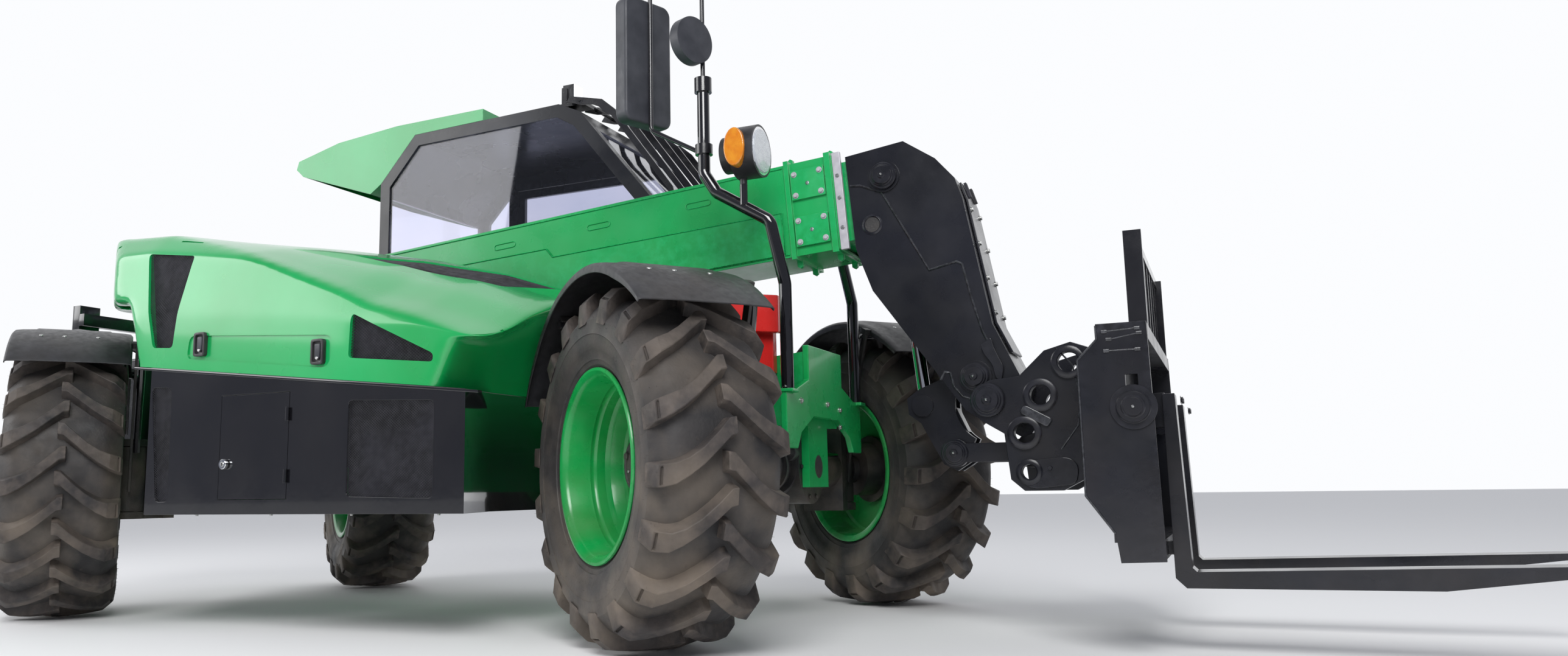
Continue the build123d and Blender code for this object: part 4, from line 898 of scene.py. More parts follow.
REAR_GRILLE = [(-0.905, 1.530), (-0.632, 1.494), (-0.684, 1.112), (-0.798, 1.120)]
FRONT_GRILLE = [(0.250, 1.180), (0.632, 1.006), (0.630, 0.976), (0.243, 1.014)]
LATCH_PANEL = [(-0.598, 1.062), (0.135, 0.985), (0.158, 1.010), (0.161, 1.105), (-0.585, 1.155)]
TOP_GRILLE = [(-0.125, -0.720), (0.16, -0.585), (0.50, -0.50), (0.80, -0.47), (0.63, -0.70), (0.40, -0.735),
              (0.1, -0.745)]


def rounded(outline, radius=0.018, steps=4):
    """The outline with its corners rounded."""
    made, count = [], len(outline)
    for n in range(count):
        a, b, c = Vector(outline[n - 1]), Vector(outline[n]), Vector(outline[(n + 1) % count])
        start = b + (a - b).normalized() * min(radius, (a - b).length * 0.4)
        end = b + (c - b).normalized() * min(radius, (c - b).length * 0.4)
        for k in range(steps + 1):
            t = k / steps
            made.append(tuple(start * (1 - t) ** 2 + b * 2 * t * (1 - t) + end * t ** 2))
    return made


def hood_shell():
    body = smooth_solid()
    cut(body, slab("arch_cut", arch, -1.010, 0.0))
    for grille in (REAR_GRILLE, FRONT_GRILLE):
        cut(body, slab("pocket", rounded(grille), -1.3, side_y(max(z for _, z in grille)) + 0.022))
    cut(body, slab("panel", rounded(LATCH_PANEL, 0.03), -1.3, POD_Y + 0.006))
    low = slab("strip", rounded(TOP_GRILLE, 0.02), 1.0, 1.7, "Z")
    for vertex in low.data.vertices:
        if vertex.co.z < 1.2:
            vertex.co.z = top_z(vertex.co.x, vertex.co.y) - 0.028
    cut(body, low)
    mesh = bmesh.new()
    mesh.from_mesh(body.data)
    parts = lambda: mesh.verts[:] + mesh.edges[:] + mesh.faces[:]
    bmesh.ops.bisect_plane(mesh, geom=parts(), plane_co=(SPLIT_AT[0], 0, SPLIT_AT[1] + 0.001),
                           plane_no=(-SPLIT_SLOPE, 0, 1), clear_inner=True)
    bmesh.ops.bisect_plane(mesh, geom=parts(), plane_co=(0, INNER_Y, 0), plane_no=(0, -1, 0), clear_inner=True)
    hidden = [f for f in mesh.faces if f.calc_center_median().y > -1.012
              and (abs(f.calc_center_median().y + 1.010) < 0.002
                   or near_outline(f.calc_center_median().x, f.calc_center_median().z, arch))]
    bmesh.ops.delete(mesh, geom=hidden, context="FACES")
    mesh.to_mesh(body.data)
    mesh.free()
    wall = body.modifiers.new("wall", "SOLIDIFY")
    wall.thickness = HOOD_WALL
    wall.offset = -1
    return shade(paint(settle(body), "green_gloss"), 40)


hood = hood_shell()
print("hood", len(hood.data.polygons), "faces")

# %% [markdown]
# ## Grilles
# The grilles are woven wire behind rounded openings, over a flat near-black sheet that paints the shade of the radiator
# space. Lines are clipped to the opening's outline in both slanting directions, and the wire tree gives them their
# thickness.

# %% Grilles
def clipped(outline, slope_degrees, pitch):
    """The parts of parallel lines that lie inside an outline."""
    turn = Matrix.Rotation(radians(slope_degrees), 2)
    turned_points = [turn @ Vector(p) for p in outline]
    back = turn.inverted()
    lines = []
    low = min(p.y for p in turned_points)
    high = max(p.y for p in turned_points)
    for n in range(int((high - low) / pitch) + 1):
        level = low + pitch * (n + 0.5)
        hits = []
        for a, b in zip(turned_points, turned_points[1:] + turned_points[:1]):
            if (a.y <= level) != (b.y <= level):
                hits.append(a.x + (b.x - a.x) * (level - a.y) / (b.y - a.y))
        hits.sort()
        for start, end in zip(hits[::2], hits[1::2]):
            lines.append((back @ Vector((start, level)), back @ Vector((end, level))))
    return lines


def grille(name, outline, depth, pitch=0.0085, radius=0.0013, slopes=(38, -38), runs=1):
    """Woven wire inside an outline. depth(a, b) lifts its flat points onto the surface."""
    lines = []
    for layer, slope in enumerate(slopes):
        for start, end in clipped(outline, slope, pitch):
            stops = [start.lerp(end, k / runs) for k in range(runs + 1)]
            lines += [(depth(*a, layer * radius), depth(*b, layer * radius)) for a, b in zip(stops, stops[1:])]
    screen = wires(name, lines, radius, "mesh_wire")
    return screen


# a flat near-black sheet 10 mm behind the wire: painted shade standing for the dark space behind the opening
def shade_sheet(name, outline, depth):
    points = [depth(a, b, -0.010) for a, b in outline]
    return paint(from_lists(name, points, [list(range(len(points)))]), "behind_mesh")


def on_side(x, z, lift):
    return (x, side_y(z) + 0.006 - lift, z)


def on_top(x, y, lift):
    return (x, y, top_z(x, y) - 0.010 + lift)


grilles = []
# each grille gets a sheet of painted shade behind its wire
for name, outline, depth, runs in (("rear", REAR_GRILLE, on_side, 2), ("front", FRONT_GRILLE, on_side, 2),
                                   ("top", TOP_GRILLE, on_top, 6)):
    edge = rounded(outline, 0.02)
    grilles += [grille(f"{name}_grille", edge, depth, runs=runs), shade_sheet(f"{name}_back", edge, depth)]
show(join("hood_shown", [hood, *grilles]), "hood", "green_plastic", "hood")


def oblong(x, z, wide, high):
    """The four corners of an upright rectangle."""
    return [(x - wide, z - high), (x + wide, z - high), (x + wide, z + high), (x - wide, z + high)]


def latch(x, z):
    """A recessed paddle latch in a black bezel with a steel lock."""
    frame_outline = rounded(oblong(x, z, 0.031, 0.048), 0.014)
    well = rounded(oblong(x, z, 0.021, 0.038), 0.01)
    bezel = cut(slab("bezel", frame_outline, POD_Y - 0.012, POD_Y + 0.006),
                slab("well", well, POD_Y - 0.02, POD_Y - 0.002))
    paddle = slab("paddle", rounded([(x - 0.012, z - 0.026), (x + 0.012, z - 0.026), (x + 0.014, z + 0.030),
                                     (x - 0.014, z + 0.030)], 0.006), POD_Y - 0.009, POD_Y - 0.001)
    lock = pin("lock", (x, POD_Y - 0.008, z - 0.024), (0, 1, 0), 0.010, 0.0065, 20)
    return join("latch", [shade(paint(round_edges(bezel, 0.002), "plastic_black")),
                          shade(paint(round_edges(paddle, 0.002), "plastic_grey")), shade(paint(lock, "zinc"))])


for end in ("rear", "front"):
    low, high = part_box(f"hood_latch_{end}")
    middle = (low + high) / 2
    made = latch(middle.x, middle.z)
    made.name = f"hood_latch_{end}_shown"
    show(made, f"hood_latch_{end}", "black_plastic", f"hood_latch_{end}")
print("hood, grilles and latches")

# %% [markdown]
# ## The lower box
# The folded steel box below the hood is gloss black. Its two vents are cut through the CAD skin, framed by a
# rounded edge, with the same woven wire, and the service door keeps its hinges and a round lock.

# %% Box, door and vents
RIGHT_VENT = [(0.252, 0.512), (0.640, 0.503), (0.640, 0.842), (0.252, 0.858)]
LEFT_VENT = [(-0.735, 0.500), (-0.664, 0.500), (-0.672, 0.950), (-0.786, 0.958)]


def on_box(x, z, lift):
    return (x, POD_Y + 0.003 - lift, z)


box_skin = cad_copy("service_box", 0)
for vent in (RIGHT_VENT, LEFT_VENT):
    cut(box_skin, slab("vent", rounded(vent, 0.02), POD_Y - 0.05, POD_Y + 0.03))
box_skin = shade(paint(round_edges(box_skin, 0.004, 3), "black_gloss"))
vents = []
# behind each vent's wire a near-black sheet paints the shade inside the box
for name, outline in (("right", RIGHT_VENT), ("left", LEFT_VENT)):
    edge = rounded(outline, 0.02)
    vents += [grille(f"{name}_vent", edge, on_box, 0.0075, 0.0012), shade_sheet(f"{name}_dark", edge, on_box)]
flange = [(x, z + split_z(x)) for x, z in ((-0.897, -0.012), (0.83, -0.012), (0.83, -0.002), (-0.897, -0.002))]
lip = shade(paint(round_edges(slab("lip", flange, POD_Y - 0.003, POD_Y + 0.02), 0.002), "black_gloss"))
box_bolts = [((x, POD_Y + 0.09, 0.449), (0, 0, -1)) for x in (-0.6, -0.2, 0.2, 0.6)]
box_parts = [box_skin, lip, *vents, put_on("box_bolts", small_bolt, box_bolts, "zinc")]
show(crisp(join("service_box_shown", box_parts)), "chassis", "black_paint", "service_box")

door_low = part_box("service_door")[0]
lock_at = (door_low.x + 0.034, door_low.y + 0.004, 0.640)
lock = [shade(paint(pin("lock_ring", lock_at, (0, 1, 0), 0.014, 0.019), "chrome")),
        shade(paint(pin("lock_core", (lock_at[0], lock_at[1] - 0.004, lock_at[2]), (0, 1, 0), 0.010, 0.010), "zinc")),
        shade(paint(box("lock_slot", (lock_at[0] - 0.001, lock_at[1] - 0.0105, lock_at[2] - 0.006),
                        (lock_at[0] + 0.001, lock_at[1] - 0.008, lock_at[2] + 0.006)), "plastic_black"))]
dress("service_door", "service_door", "black_paint", "black_gloss", 0.0025, 3, extra=lock)
print("lower box and door")

# %% [markdown]
# ## The boom
# The boom is a welded box. Its corners are rolled plate, a doubler plate strengthens the lower half of each side,
# weld beads run along its edges, and bolted covers hold the slide pads at its mouth. Everything is laid out
# along the boom's own slope, so one function turns boom distances into places.

# %% Boom
PIVOT = Vector(joints["boom_lift"]["pos_m"])
BOOM_WAY = Vector(joints["boom_extend"]["axis"])
BOOM_UP = Vector((-BOOM_WAY.z, 0, BOOM_WAY.x))
BOOM_HALF, BOOM_TOP, BOOM_LOW = 0.15, 0.12, -0.26


def at_boom(u, v):
    """(x, z) of a place u along the boom and v above its pivot."""
    spot = PIVOT + BOOM_WAY * u + BOOM_UP * v
    return spot.x, spot.z


def boom_plate(name, corners, low, high, material, edge=0.002):
    plate = slab(name, [at_boom(u, v) for u, v in corners], min(low, high), max(low, high))
    return shade(paint(round_edges(plate, edge), material))


def bead(name, route, radius=0.004, material="weld"):
    return shade(paint(rod(name, route, radius, 8, smooth=False), material), 60)


def boom_side(hand):
    """What is on one side of the boom."""
    y = hand * BOOM_HALF
    out = y + hand * 0.004
    step = [(1.02, -0.245), (3.28, -0.245), (3.28, -0.075), (2.20, -0.062), (2.17, -0.02), (1.62, -0.012),
            (1.50, -0.10),
            (1.02, -0.16)]
    parts = [boom_plate("doubler", step, y, out, "green_paint", 0.001)]
    route = [at_boom(u, v) for u, v in step]
    parts.append(bead("doubler_weld", [(x, out, z) for x, z in route + route[:1]], 0.0032, "green_weld"))
    # stiffening slots, pressed in and shown by their rims
    for u in (1.95, 2.44, 2.92):
        ends = [at_boom(u + s * 0.045, 0.035) for s in (-1, 1)]
        rim = [(x + 0.012 * cos(a), y + hand * 0.001, z + 0.012 * sin(a))
               for (x, z), start in ((ends[1], -pi / 2), (ends[0], pi / 2)) for a in
               [start + pi * k / 5 for k in range(6)]]
        parts.append(bead("slot_rim", rim + rim[:1], 0.0022, "green_paint"))
    # covers of the slide pads
    marks, centres = [], []
    for v0, v1 in ((BOOM_TOP - 0.155, BOOM_TOP - 0.035), (BOOM_LOW + 0.035, BOOM_LOW + 0.155)):
        face = y + hand * 0.012
        parts.append(boom_plate("cover", [(3.335, v0), (3.475, v0), (3.475, v1), (3.335, v1)], y, face,
                                "green_paint"))
        for u, v in ((3.352, v0 + 0.017), (3.458, v0 + 0.017), (3.458, v1 - 0.017), (3.352, v1 - 0.017)):
            x, z = at_boom(u, v)
            marks.append(((x, face, z), (0, hand, 0)))
        x, z = at_boom(3.405, (v0 + v1) / 2)
        centres.append(((x, face, z), (0, hand, 0)))
    parts.append(put_on("cover_bolts", bolt, marks, "alloy_strip"))
    parts.append(put_on("grease_points", small_bolt, centres, "chrome"))
    # the long corner welds
    for v in (BOOM_TOP - 0.012, BOOM_LOW + 0.012):
        x0, z0 = at_boom(0.42, v)
        x1, z1 = at_boom(3.30, v)
        parts.append(bead("corner_weld", [(x0, y, z0), (x1, y, z1)], 0.0035, "green_weld"))
    # light strip at the mouth
    strip = boom_plate("mouth_strip", [(3.512, BOOM_LOW - 0.006), (3.545, BOOM_LOW - 0.006),
                                       (3.545, BOOM_TOP + 0.006),
                                       (3.512, BOOM_TOP + 0.006)], y - hand * 0.012, y + hand * 0.006, "alloy_strip")
    screws = []
    for v in (BOOM_TOP - 0.09, -0.06, BOOM_LOW + 0.08):
        x, z = at_boom(3.528, v)
        screws.append(((x, y + hand * 0.006, z), (0, hand, 0)))
    return [*parts, strip, put_on("strip_screws", small_bolt, screws, "zinc")]


def boom_lips():
    """The upturned hooks and lugs above and below the boom's mouth."""
    parts = []
    for u in (3.32, 3.49):
        for v, grow in ((BOOM_TOP, 1), (BOOM_LOW, -1)):
            arc = [(u - 0.012, v), (u + 0.012, v), (u + 0.012, v + grow * 0.03), (u, v + grow * 0.038),
                   (u - 0.012, v + grow * 0.03)]
            for y in (-0.10, 0.08):
                parts.append(boom_plate("lug", arc, y, y + 0.018, "green_paint"))
    return parts


dress("outer_boom", "outer_boom", "green_paint", "green_paint", 0.006, 3,
      extra=[*boom_side(-1), *boom_side(1), *boom_lips()])
pads = cad_copy("wear_pads", 0.001, 1)
show(shade(paint(pads, "slide_pad")), "outer_boom", "pad_plastic", "wear_pads")
dress("inner_boom", "inner_boom", "green_paint", "green_paint", 0.004)
print("boom")

# %% [markdown]
# ## The head
# The gooseneck head is thick flame-cut plate in satin black. Its profile is the CAD one, with a broad rounded
# edge, and the seams where its plates meet are raised weld beads. Pins show collars, keeper plates and grease
# points.

# %% Head
HEAD_Y = 0.15


def collar(name, at, y, hand, radius, material="satin_black"):
    """What shows of a pin from the side: a ring, a stepped pin end and a grease point."""
    x, z = at
    parts = [(y + hand * 0.006, 0.012, radius * 1.42), (y + hand * 0.013, 0.010, radius * 1.18),
             (y + hand * 0.019, 0.012, radius), (y + hand * 0.025, 0.008, radius * 0.42)]
    made = [shade(paint(pin(name, (x, at_y, z), (0, 1, 0), wide, r, 40, 0.003), material)) for at_y, wide, r in parts]
    made.append(shade(paint(pin(name, (x, y + hand * 0.031, z), (0, 1, 0), 0.010, 0.0045, 12), "zinc")))
    return made


def ring(name, at, y, hand, inner, outer, height=0.012, material="satin_black"):
    """A raised boss round a hole."""
    profile = [(0, inner), (0, outer), (height - 0.004, outer), (height, outer - 0.006), (height, inner + 0.003),
               (height - 0.003, inner)]
    made = turned(name, [(hand * a, r) for a, r in profile], 48)
    return shade(paint(place(made, Matrix.Translation((at[0], y, at[1]))), material))


def head_side(hand):
    y = hand * HEAD_Y
    seam = [(1.865, 1.680), (1.905, 1.677), (1.989, 1.640), (2.160, 1.319), (2.262, 1.342), (2.283, 1.330),
            (2.310, 1.204),
            (2.345, 1.073), (2.392, 0.975)]
    parts = [bead("seam", [(x, y, z) for x, z in seam], 0.0055)]
    hook = [(2.185, 0.905), (2.200, 0.935), (2.220, 0.930), (2.232, 0.88), (2.262, 0.842), (2.300, 0.828)]
    parts.append(bead("hook_seam", [(x, y, z) for x, z in hook], 0.0055))
    parts += collar("tilt_pin", (2.0, 1.70), y + hand * 0.012, hand, 0.037)
    parts += collar("rocker_pin", (2.31, 0.91), y + hand * 0.012, hand, 0.036)
    # a hose port, and a bent hose hook on the lower neck
    parts.append(ring("port", (1.948, 1.517), y, hand, 0.030, 0.040, 0.006))
    port_floor = pin("port_floor", (1.948, y - hand * 0.002, 1.517), (0, 1, 0), 0.008, 0.031)
    parts.append(shade(paint(port_floor, "cast_black")))
    keeper = slab("keeper", rounded([(2.335, 1.02), (2.375, 1.05), (2.385, 1.01), (2.415, 0.94), (2.405, 0.89),
                                     (2.385, 0.90), (2.375, 0.95), (2.350, 0.985)], 0.012), min(y, y + hand * 0.02),
                  max(y, y + hand * 0.02))
    parts.append(shade(paint(round_edges(keeper, 0.003), "satin_black")))
    return parts


def head_front():
    """The bolted cover down the front, with its two hose slots shown as near-black boxes of painted shade."""
    line = [(2.282, 1.655), (2.305, 1.585), (2.388, 1.112), (2.440, 1.000)]
    outline = line + [(x - 0.008, z - 0.004) for x, z in line[::-1]]
    cover = shade(paint(round_edges(slab("front_cover", outline, -0.095, 0.095), 0.002), "satin_black"))
    way = (Vector((line[2][0] - line[1][0], 0, line[2][1] - line[1][1]))).normalized()
    out = (way.z * -1, 0, way.x)
    marks = []
    for share in (0.08, 0.36, 0.64, 0.92):
        x = line[1][0] + (line[2][0] - line[1][0]) * share
        z = line[1][1] + (line[2][1] - line[1][1]) * share
        marks += [((x, y, z), out) for y in (-0.078, 0.078)]
    # the hose slots are not cut: two near-black boxes paint the shade inside them
    dark = [shade(paint(box("slot", (2.292, y - 0.012, 1.60), (2.302, y + 0.012, 1.66)), "behind_mesh"))
            for y in (-0.05, 0.05)]
    for piece, tilt in zip(dark, (-0.3, -0.3)):
        place(piece, Matrix.Translation((2.297, 0, 1.63)) @ Matrix.Rotation(tilt, 4, "Y")
              @ Matrix.Translation((-2.297, 0, -1.63)))
    return [cover, *dark, put_on("cover_screws", bolt, marks, "zinc")]


hitch_pin = [part for hand in (1, -1) for part in collar("hitch_pin", (2.36, 0.82), hand * 0.205, hand, 0.042)]
dress("boom_head", "inner_boom", "satin_black", "satin_black", 0.009, 4,
      extra=[*head_side(-1), *head_side(1), *head_front(), *hitch_pin])
print("head")

# %% [markdown]
# ## Tilt linkage and cylinders
# A rocker and two links turn the hitch. The cylinder barrels are green or black tube with a machined gland, and
# the rods are hard chrome.

# %% Linkage and cylinders
link_low = (2.21, 0.64)
rocker_extra = []
for hand in (1, -1):
    rocker_extra += collar("rocker_low_pin", link_low, hand * 0.088, hand, 0.034)
dress("tilt_rocker", "rocker", "satin_black", "satin_black", 0.006, 3, extra=rocker_extra)
dress("tilt_link", "link", "satin_black", "satin_black", 0.006, 3)


def hose_along(start, end, side_y_at, radius=0.010):
    """A hose clipped along a cylinder, bowed a little off it."""
    a, b = Vector((start[0], side_y_at, start[1])), Vector((end[0], side_y_at, end[1]))
    away = Vector((0, side_y_at, 0)).normalized() * 0.03
    route = [a, a.lerp(b, 0.1) + away, a.lerp(b, 0.5) + away * 1.3, a.lerp(b, 0.9) + away, b]
    return shade(paint(rod("hose", route, radius, 10), "plastic_black"))


dress("tilt_cylinder_barrel", "tilt_barrel", "green_paint", "green_paint", 0.002)
dress("tilt_cylinder_rod", "tilt_rod", "chrome", "chrome", 0.0015)
dress("lift_cylinder_barrel", "lift_barrel", "satin_black", "black_paint", 0.002,
      extra=[hose_along((-0.95, 0.80), (0.30, 1.15), -0.06)])
dress("lift_cylinder_rod", "lift_rod", "chrome", "chrome", 0.0015)
print("linkage and cylinders")

# %% [markdown]
# ## Hitch and fork carriage
# Two thick plates carry open pin holes with raised bosses, so another tool could be hung there. The carriage
# behind them is welded plate, and each fork hangs on the round shaft, which shows in the side plate below a slot.

# %% Hitch, carriage and forks
HITCH_Y = 0.198


def hitch_side(hand):
    y = hand * HITCH_Y
    parts = [ring("boss", at, y, hand, 0.035, 0.058, 0.014) for at in ((2.64, 0.94), (2.54, 0.83), (2.48, 0.70))]
    parts.append(ring("lower_boss", (2.49, 0.565), y, hand, 0.026, 0.045, 0.016))
    strap = rounded([(2.452, 0.535), (2.452, 0.600), (2.62, 0.615), (2.655, 0.585), (2.645, 0.520),
                     (2.50, 0.505)], 0.03)
    strap_plate = cut(slab("strap", strap, min(y, y + hand * 0.010), max(y, y + hand * 0.010)),
                      pin("hole", (2.49, y, 0.565), (0, 1, 0), 0.1, 0.027))
    parts.append(shade(paint(round_edges(strap_plate, 0.003), "satin_black")))
    parts.append(put_on("strap_bolt", bolt, [((2.560, y + hand * 0.010, 0.577), (0, hand, 0))], "satin_black"))
    # a plain raised cast pad with nothing on it
    pad = rounded([(2.465, 0.770), (2.560, 0.715), (2.580, 0.745), (2.485, 0.800)], 0.014)
    cast_pad = slab("cast_pad", pad, min(y, y + hand * 0.012), max(y, y + hand * 0.012))
    parts.append(shade(paint(round_edges(cast_pad, 0.005, 3), "weld")))
    seam = [(2.60, 0.992), (2.652, 0.93), (2.672, 0.82), (2.66, 0.72), (2.60, 0.64)]
    parts.append(bead("hitch_seam", [(x, y, z) for x, z in seam], 0.0035))
    return parts


dress("hitch", "hitch", "satin_black", "satin_black", 0.006, 3, extra=[*hitch_side(1), *hitch_side(-1)])


def carriage_side(hand):
    y = hand * 0.6
    parts = [*collar("shaft_end", (2.87, 0.75), y, hand, 0.036)]
    washer = pin("washer", (2.87, y + hand * 0.004, 0.75), (0, 1, 0), 0.006, 0.068, 40, 0.001)
    parts.append(shade(paint(washer, "satin_black")))
    stitches = []
    for z0, z1, x0, x1 in ((0.985, 0.990, 2.800, 2.895), (0.960, 0.975, 2.812, 2.900), (0.925, 0.925, 2.803, 2.893)):
        stitches.append(bead("stitch", [(x0, y, z0), (x1, y, z1)], 0.0022))
        for x, z in ((x0, z0), (x1, z1)):
            stitches.append(bead("stud", [(x - 0.008, y, z), (x + 0.008, y, z)], 0.006))
    seam = [(2.776, 1.005), (2.776, 0.962), (2.7165, 0.90), (2.7165, 0.485), (2.795, 0.372)]
    return [*parts, *stitches, bead("edge_seam", [(x, y - hand * 0.001, z) for x, z in seam], 0.004)]


dress("fork_frame", "hitch", "satin_black", "satin_black", 0.004, 3, extra=[*carriage_side(1), *carriage_side(-1)])
dress("backrest", "hitch", "satin_black", "black_paint", 0.003)
for side in ("right", "left"):
    low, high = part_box(f"fork_{side}")
    middle = (low.y + high.y) / 2
    marks = [((2.993, middle + s * 0.035, 0.78), (1, 0, 0)) for s in (-1, 1)]
    hook_bolts = put_on("hook_bolts", bolt, marks, "satin_black")
    dress(f"fork_{side}", f"fork_{side}", "satin_black", "satin_black", 0.005, 3, extra=[hook_bolts])
print("hitch, carriage and forks")

# %% [markdown]
# ## Chassis
# The frame is welded plate in the same green. The front plate, the guard posts and the strut carry bolts with
# washers, and the rear lamps get coloured lenses.

# %% Chassis pieces
def paint_where(piece, material, test):
    """Gives a second material to the faces that pass a test of centre, normal and area."""
    piece.data.materials.append(materials[material])
    slot = len(piece.data.materials) - 1
    for face in piece.data.polygons:
        if test(face.center, face.normal, face.area):
            face.material_index = slot
    return piece


def facing(direction, least, share=0.3):
    """A test for the broad faces that look along a direction."""
    way = Vector(direction)
    return lambda centre, normal, area: normal.dot(way) > least and area > share


plate_bolts = [((1.690, y, z), (1, 0, 0))
               for y, z in ((-0.292, 0.844), (0.007, 0.847), (0.16, 0.833), (0.153, 0.763))]
dress("front_plate", "chassis", "green_paint", "green_paint", 0.004,
      extra=[put_on("plate_bolts", bolt, plate_bolts, "zinc")])
dress("chassis_frame", "chassis", "green_paint", "green_paint", 0.004)
foot_bolts = [((1.66 + s * 0.022, -0.428, 0.885), (0, 0, 1)) for s in (-1, 1)]
dress("guard_posts", "chassis", "black_paint", "black_gloss", 0.002, 2,
      extra=[put_on("foot_bolts", small_bolt, foot_bolts, "zinc")])
strut_bolts = [((x, -0.277, z), (0, -1, 0)) for x, z in ((1.26, 1.02), (1.54, 1.24))]
dress("boom_strut", "chassis", "red_paint", "red_paint", 0.005, 3,
      extra=[put_on("strut_bolts", bolt, strut_bolts, "zinc")])
dress("engine_block", "chassis", "cast_iron", "cast_black", 0.006)
dress("counterweight", "chassis", "cast_iron", "black_paint", 0.012, 4)
lamps = shade(paint(cad_copy("rear_lamps", 0.006, 3), "black_paint"))
paint_where(lamps, "red_lens", lambda c, n, a: c.x < -2.05 and n.x < -0.5 and abs(c.y) > 0.9)
paint_where(lamps, "amber", lambda c, n, a: c.x < -2.05 and n.x < -0.5 and abs(c.y) <= 0.9)
lamps.name = "rear_lamps_shown"
show(lamps, "chassis", "lamp", "rear_lamps")
print("chassis")

# %% [markdown]
# ## Cab
# The cab is a rolled frame with tinted glass, six guard bars, a moulded roof fairing, a lined interior and a
# sprung seat. The seat's two cushions are blown up with a short cloth run.

# %% Cab shell
dress("cab_frame", "chassis", "black_paint", "satin_black", 0.008, 4)
dress("cab_glass", "chassis", "glass", "cab_glass", 0.0015, 1)
dress("cab_door", "cab_door", "black_paint", "satin_black", 0.008, 4)
dress("door_glass", "cab_door", "glass", "cab_glass", 0.0015, 1)
dress("roof_cap", "chassis", "green_plastic", "green_gloss", 0.022, 5)
dress("roof_guard", "chassis", "black_paint", "black_paint", 0.004, 3)


def console_parts():
    """Two rows of rocker switches on the dash, and a pad of buttons by the seat."""
    parts = []
    for z in (1.405, 1.375):
        for n in range(5):
            y = 0.80 + n * 0.036
            key = box("switch", (0.296, y, z), (0.304, y + 0.026, z + 0.020))
            parts.append(shade(paint(round_edges(key, 0.002), "plastic_black")))
    for n in range(4):
        key = box("button", (-0.50 + n * 0.05, 0.290, 1.118), (-0.468 + n * 0.05, 0.330, 1.126))
        parts.append(shade(paint(round_edges(key, 0.002), "plastic_grey")))
    return parts


dress("dash_console", "chassis", "black_plastic", "cab_lining", 0.012, 4, extra=console_parts())
dress("steering_wheel", "steering_wheel", "black_plastic", "plastic_black", 0.002, 2)
dress("joystick", "joystick", "black_plastic", "plastic_black", 0.003, 3)
print("cab")

# %% Seat
def puffed(piece, cell=0.010, cap=0.016):
    """A cushion: even quads, blown up by cloth pressure, with the movement of each point capped."""
    cells = piece.modifiers.new("cells", "REMESH")
    cells.mode = "VOXEL"
    cells.voxel_size = cell
    settle(piece)
    start = [v.co.copy() for v in piece.data.vertices]
    cloth = piece.modifiers.new("cloth", "CLOTH")
    cloth.settings.use_pressure = True
    cloth.settings.uniform_pressure_force = 4
    cloth.settings.effector_weights.gravity = 0
    for frame_number in range(1, 21):
        bpy.context.scene.frame_set(frame_number)
    settle(piece)
    for vertex, old in zip(piece.data.vertices, start):
        move = vertex.co - old
        if move.length > cap:
            vertex.co = old + move.normalized() * cap
    bpy.context.scene.frame_set(1)
    return shade(paint(piece, "seat_cloth"), 60)


seat_low, seat_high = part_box("seat")
base = shade(paint(cad_copy("seat", 0.02, 4), "plastic_black"))
base.name = "seat_frame_shown"
show(base, "seat", "seat_fabric", "seat")
across = (seat_low.y + 0.05, seat_high.y - 0.05)
pads = {"seat_cushion": [(-0.50, 1.095), (-0.07, 1.115), (-0.06, 1.165), (-0.49, 1.150)],
        "back_cushion": [(-0.485, 1.17), (-0.425, 1.17), (-0.49, 1.74), (-0.55, 1.74)]}
for name, outline in pads.items():
    cushion = puffed(slab(name, outline, *across))
    show(cushion, "seat", "seat_fabric")
print("seat")

# %% [markdown]
# ## Mirrors and lamps
# The housings are moulded in dark grey and their rear faces are glass. The headlamp has a chrome ring, a clear
# lens and an amber side lens, and the work lamps have LED faces and cooling fins.

# %% Mirrors and lamps
dress("mirror_arm", "mirror_arm", "black_paint", "black_paint", 0.002, 2)
for name in ("big_mirror", "round_mirror"):
    mirror = shade(paint(cad_copy(name, 0.012 if name == "big_mirror" else 0.006, 4), "plastic_grey"))
    rearward = [f for f in mirror.data.polygons if f.normal.x < -0.6]
    broad = max(f.area for f in rearward)
    paint_where(mirror, "mirror_glass", facing((-1, 0, 0), 0.6, broad * 0.3))
    mirror.name = f"{name}_shown"
    show(mirror, name, "black_plastic", name)

LAMP_Y, LAMP_Z, LAMP_FRONT = -0.455, 1.775, 1.620
lamp_ring = pin("lamp_ring", (LAMP_FRONT - 0.008, LAMP_Y, LAMP_Z), (1, 0, 0), 0.018, 0.093, 48)
lamp_lens = pin("lamp_lens", (LAMP_FRONT + 0.001, LAMP_Y, LAMP_Z), (1, 0, 0), 0.010, 0.084, 48, 0.004)
side_oval = [(1.552 + 0.042 * cos(a * pi / 12), LAMP_Z + 0.074 * sin(a * pi / 12)) for a in range(24)]
side_lens = round_edges(slab("side_lens", side_oval, LAMP_Y - 0.108, LAMP_Y - 0.06), 0.006, 4)
lamp_parts = [shade(paint(lamp_ring, "chrome")), shade(paint(lamp_lens, "lens")), shade(paint(side_lens, "amber"))]
dress("headlamp", "headlamp", "lamp", "plastic_black", 0.006, 3, extra=lamp_parts)

work = shade(paint(cad_copy("work_lamps", 0.004, 3), "plastic_black"))
front_faces = [f for f in work.data.polygons if f.normal.x > 0.7]
paint_where(work, "led", facing((1, 0, 0), 0.7, max(f.area for f in front_faces) * 0.3))
fins = [shade(paint(box("fin", (0.280, y - 0.040, 2.436 + n * 0.010), (0.292, y + 0.040, 2.439 + n * 0.010)),
                    "plastic_black"))
        for y in (0.30, 1.0) for n in range(6)]
show(join("work_lamps_shown", [work, *fins]), "work_lamps", "black_plastic", "work_lamps")
print("mirrors and lamps")
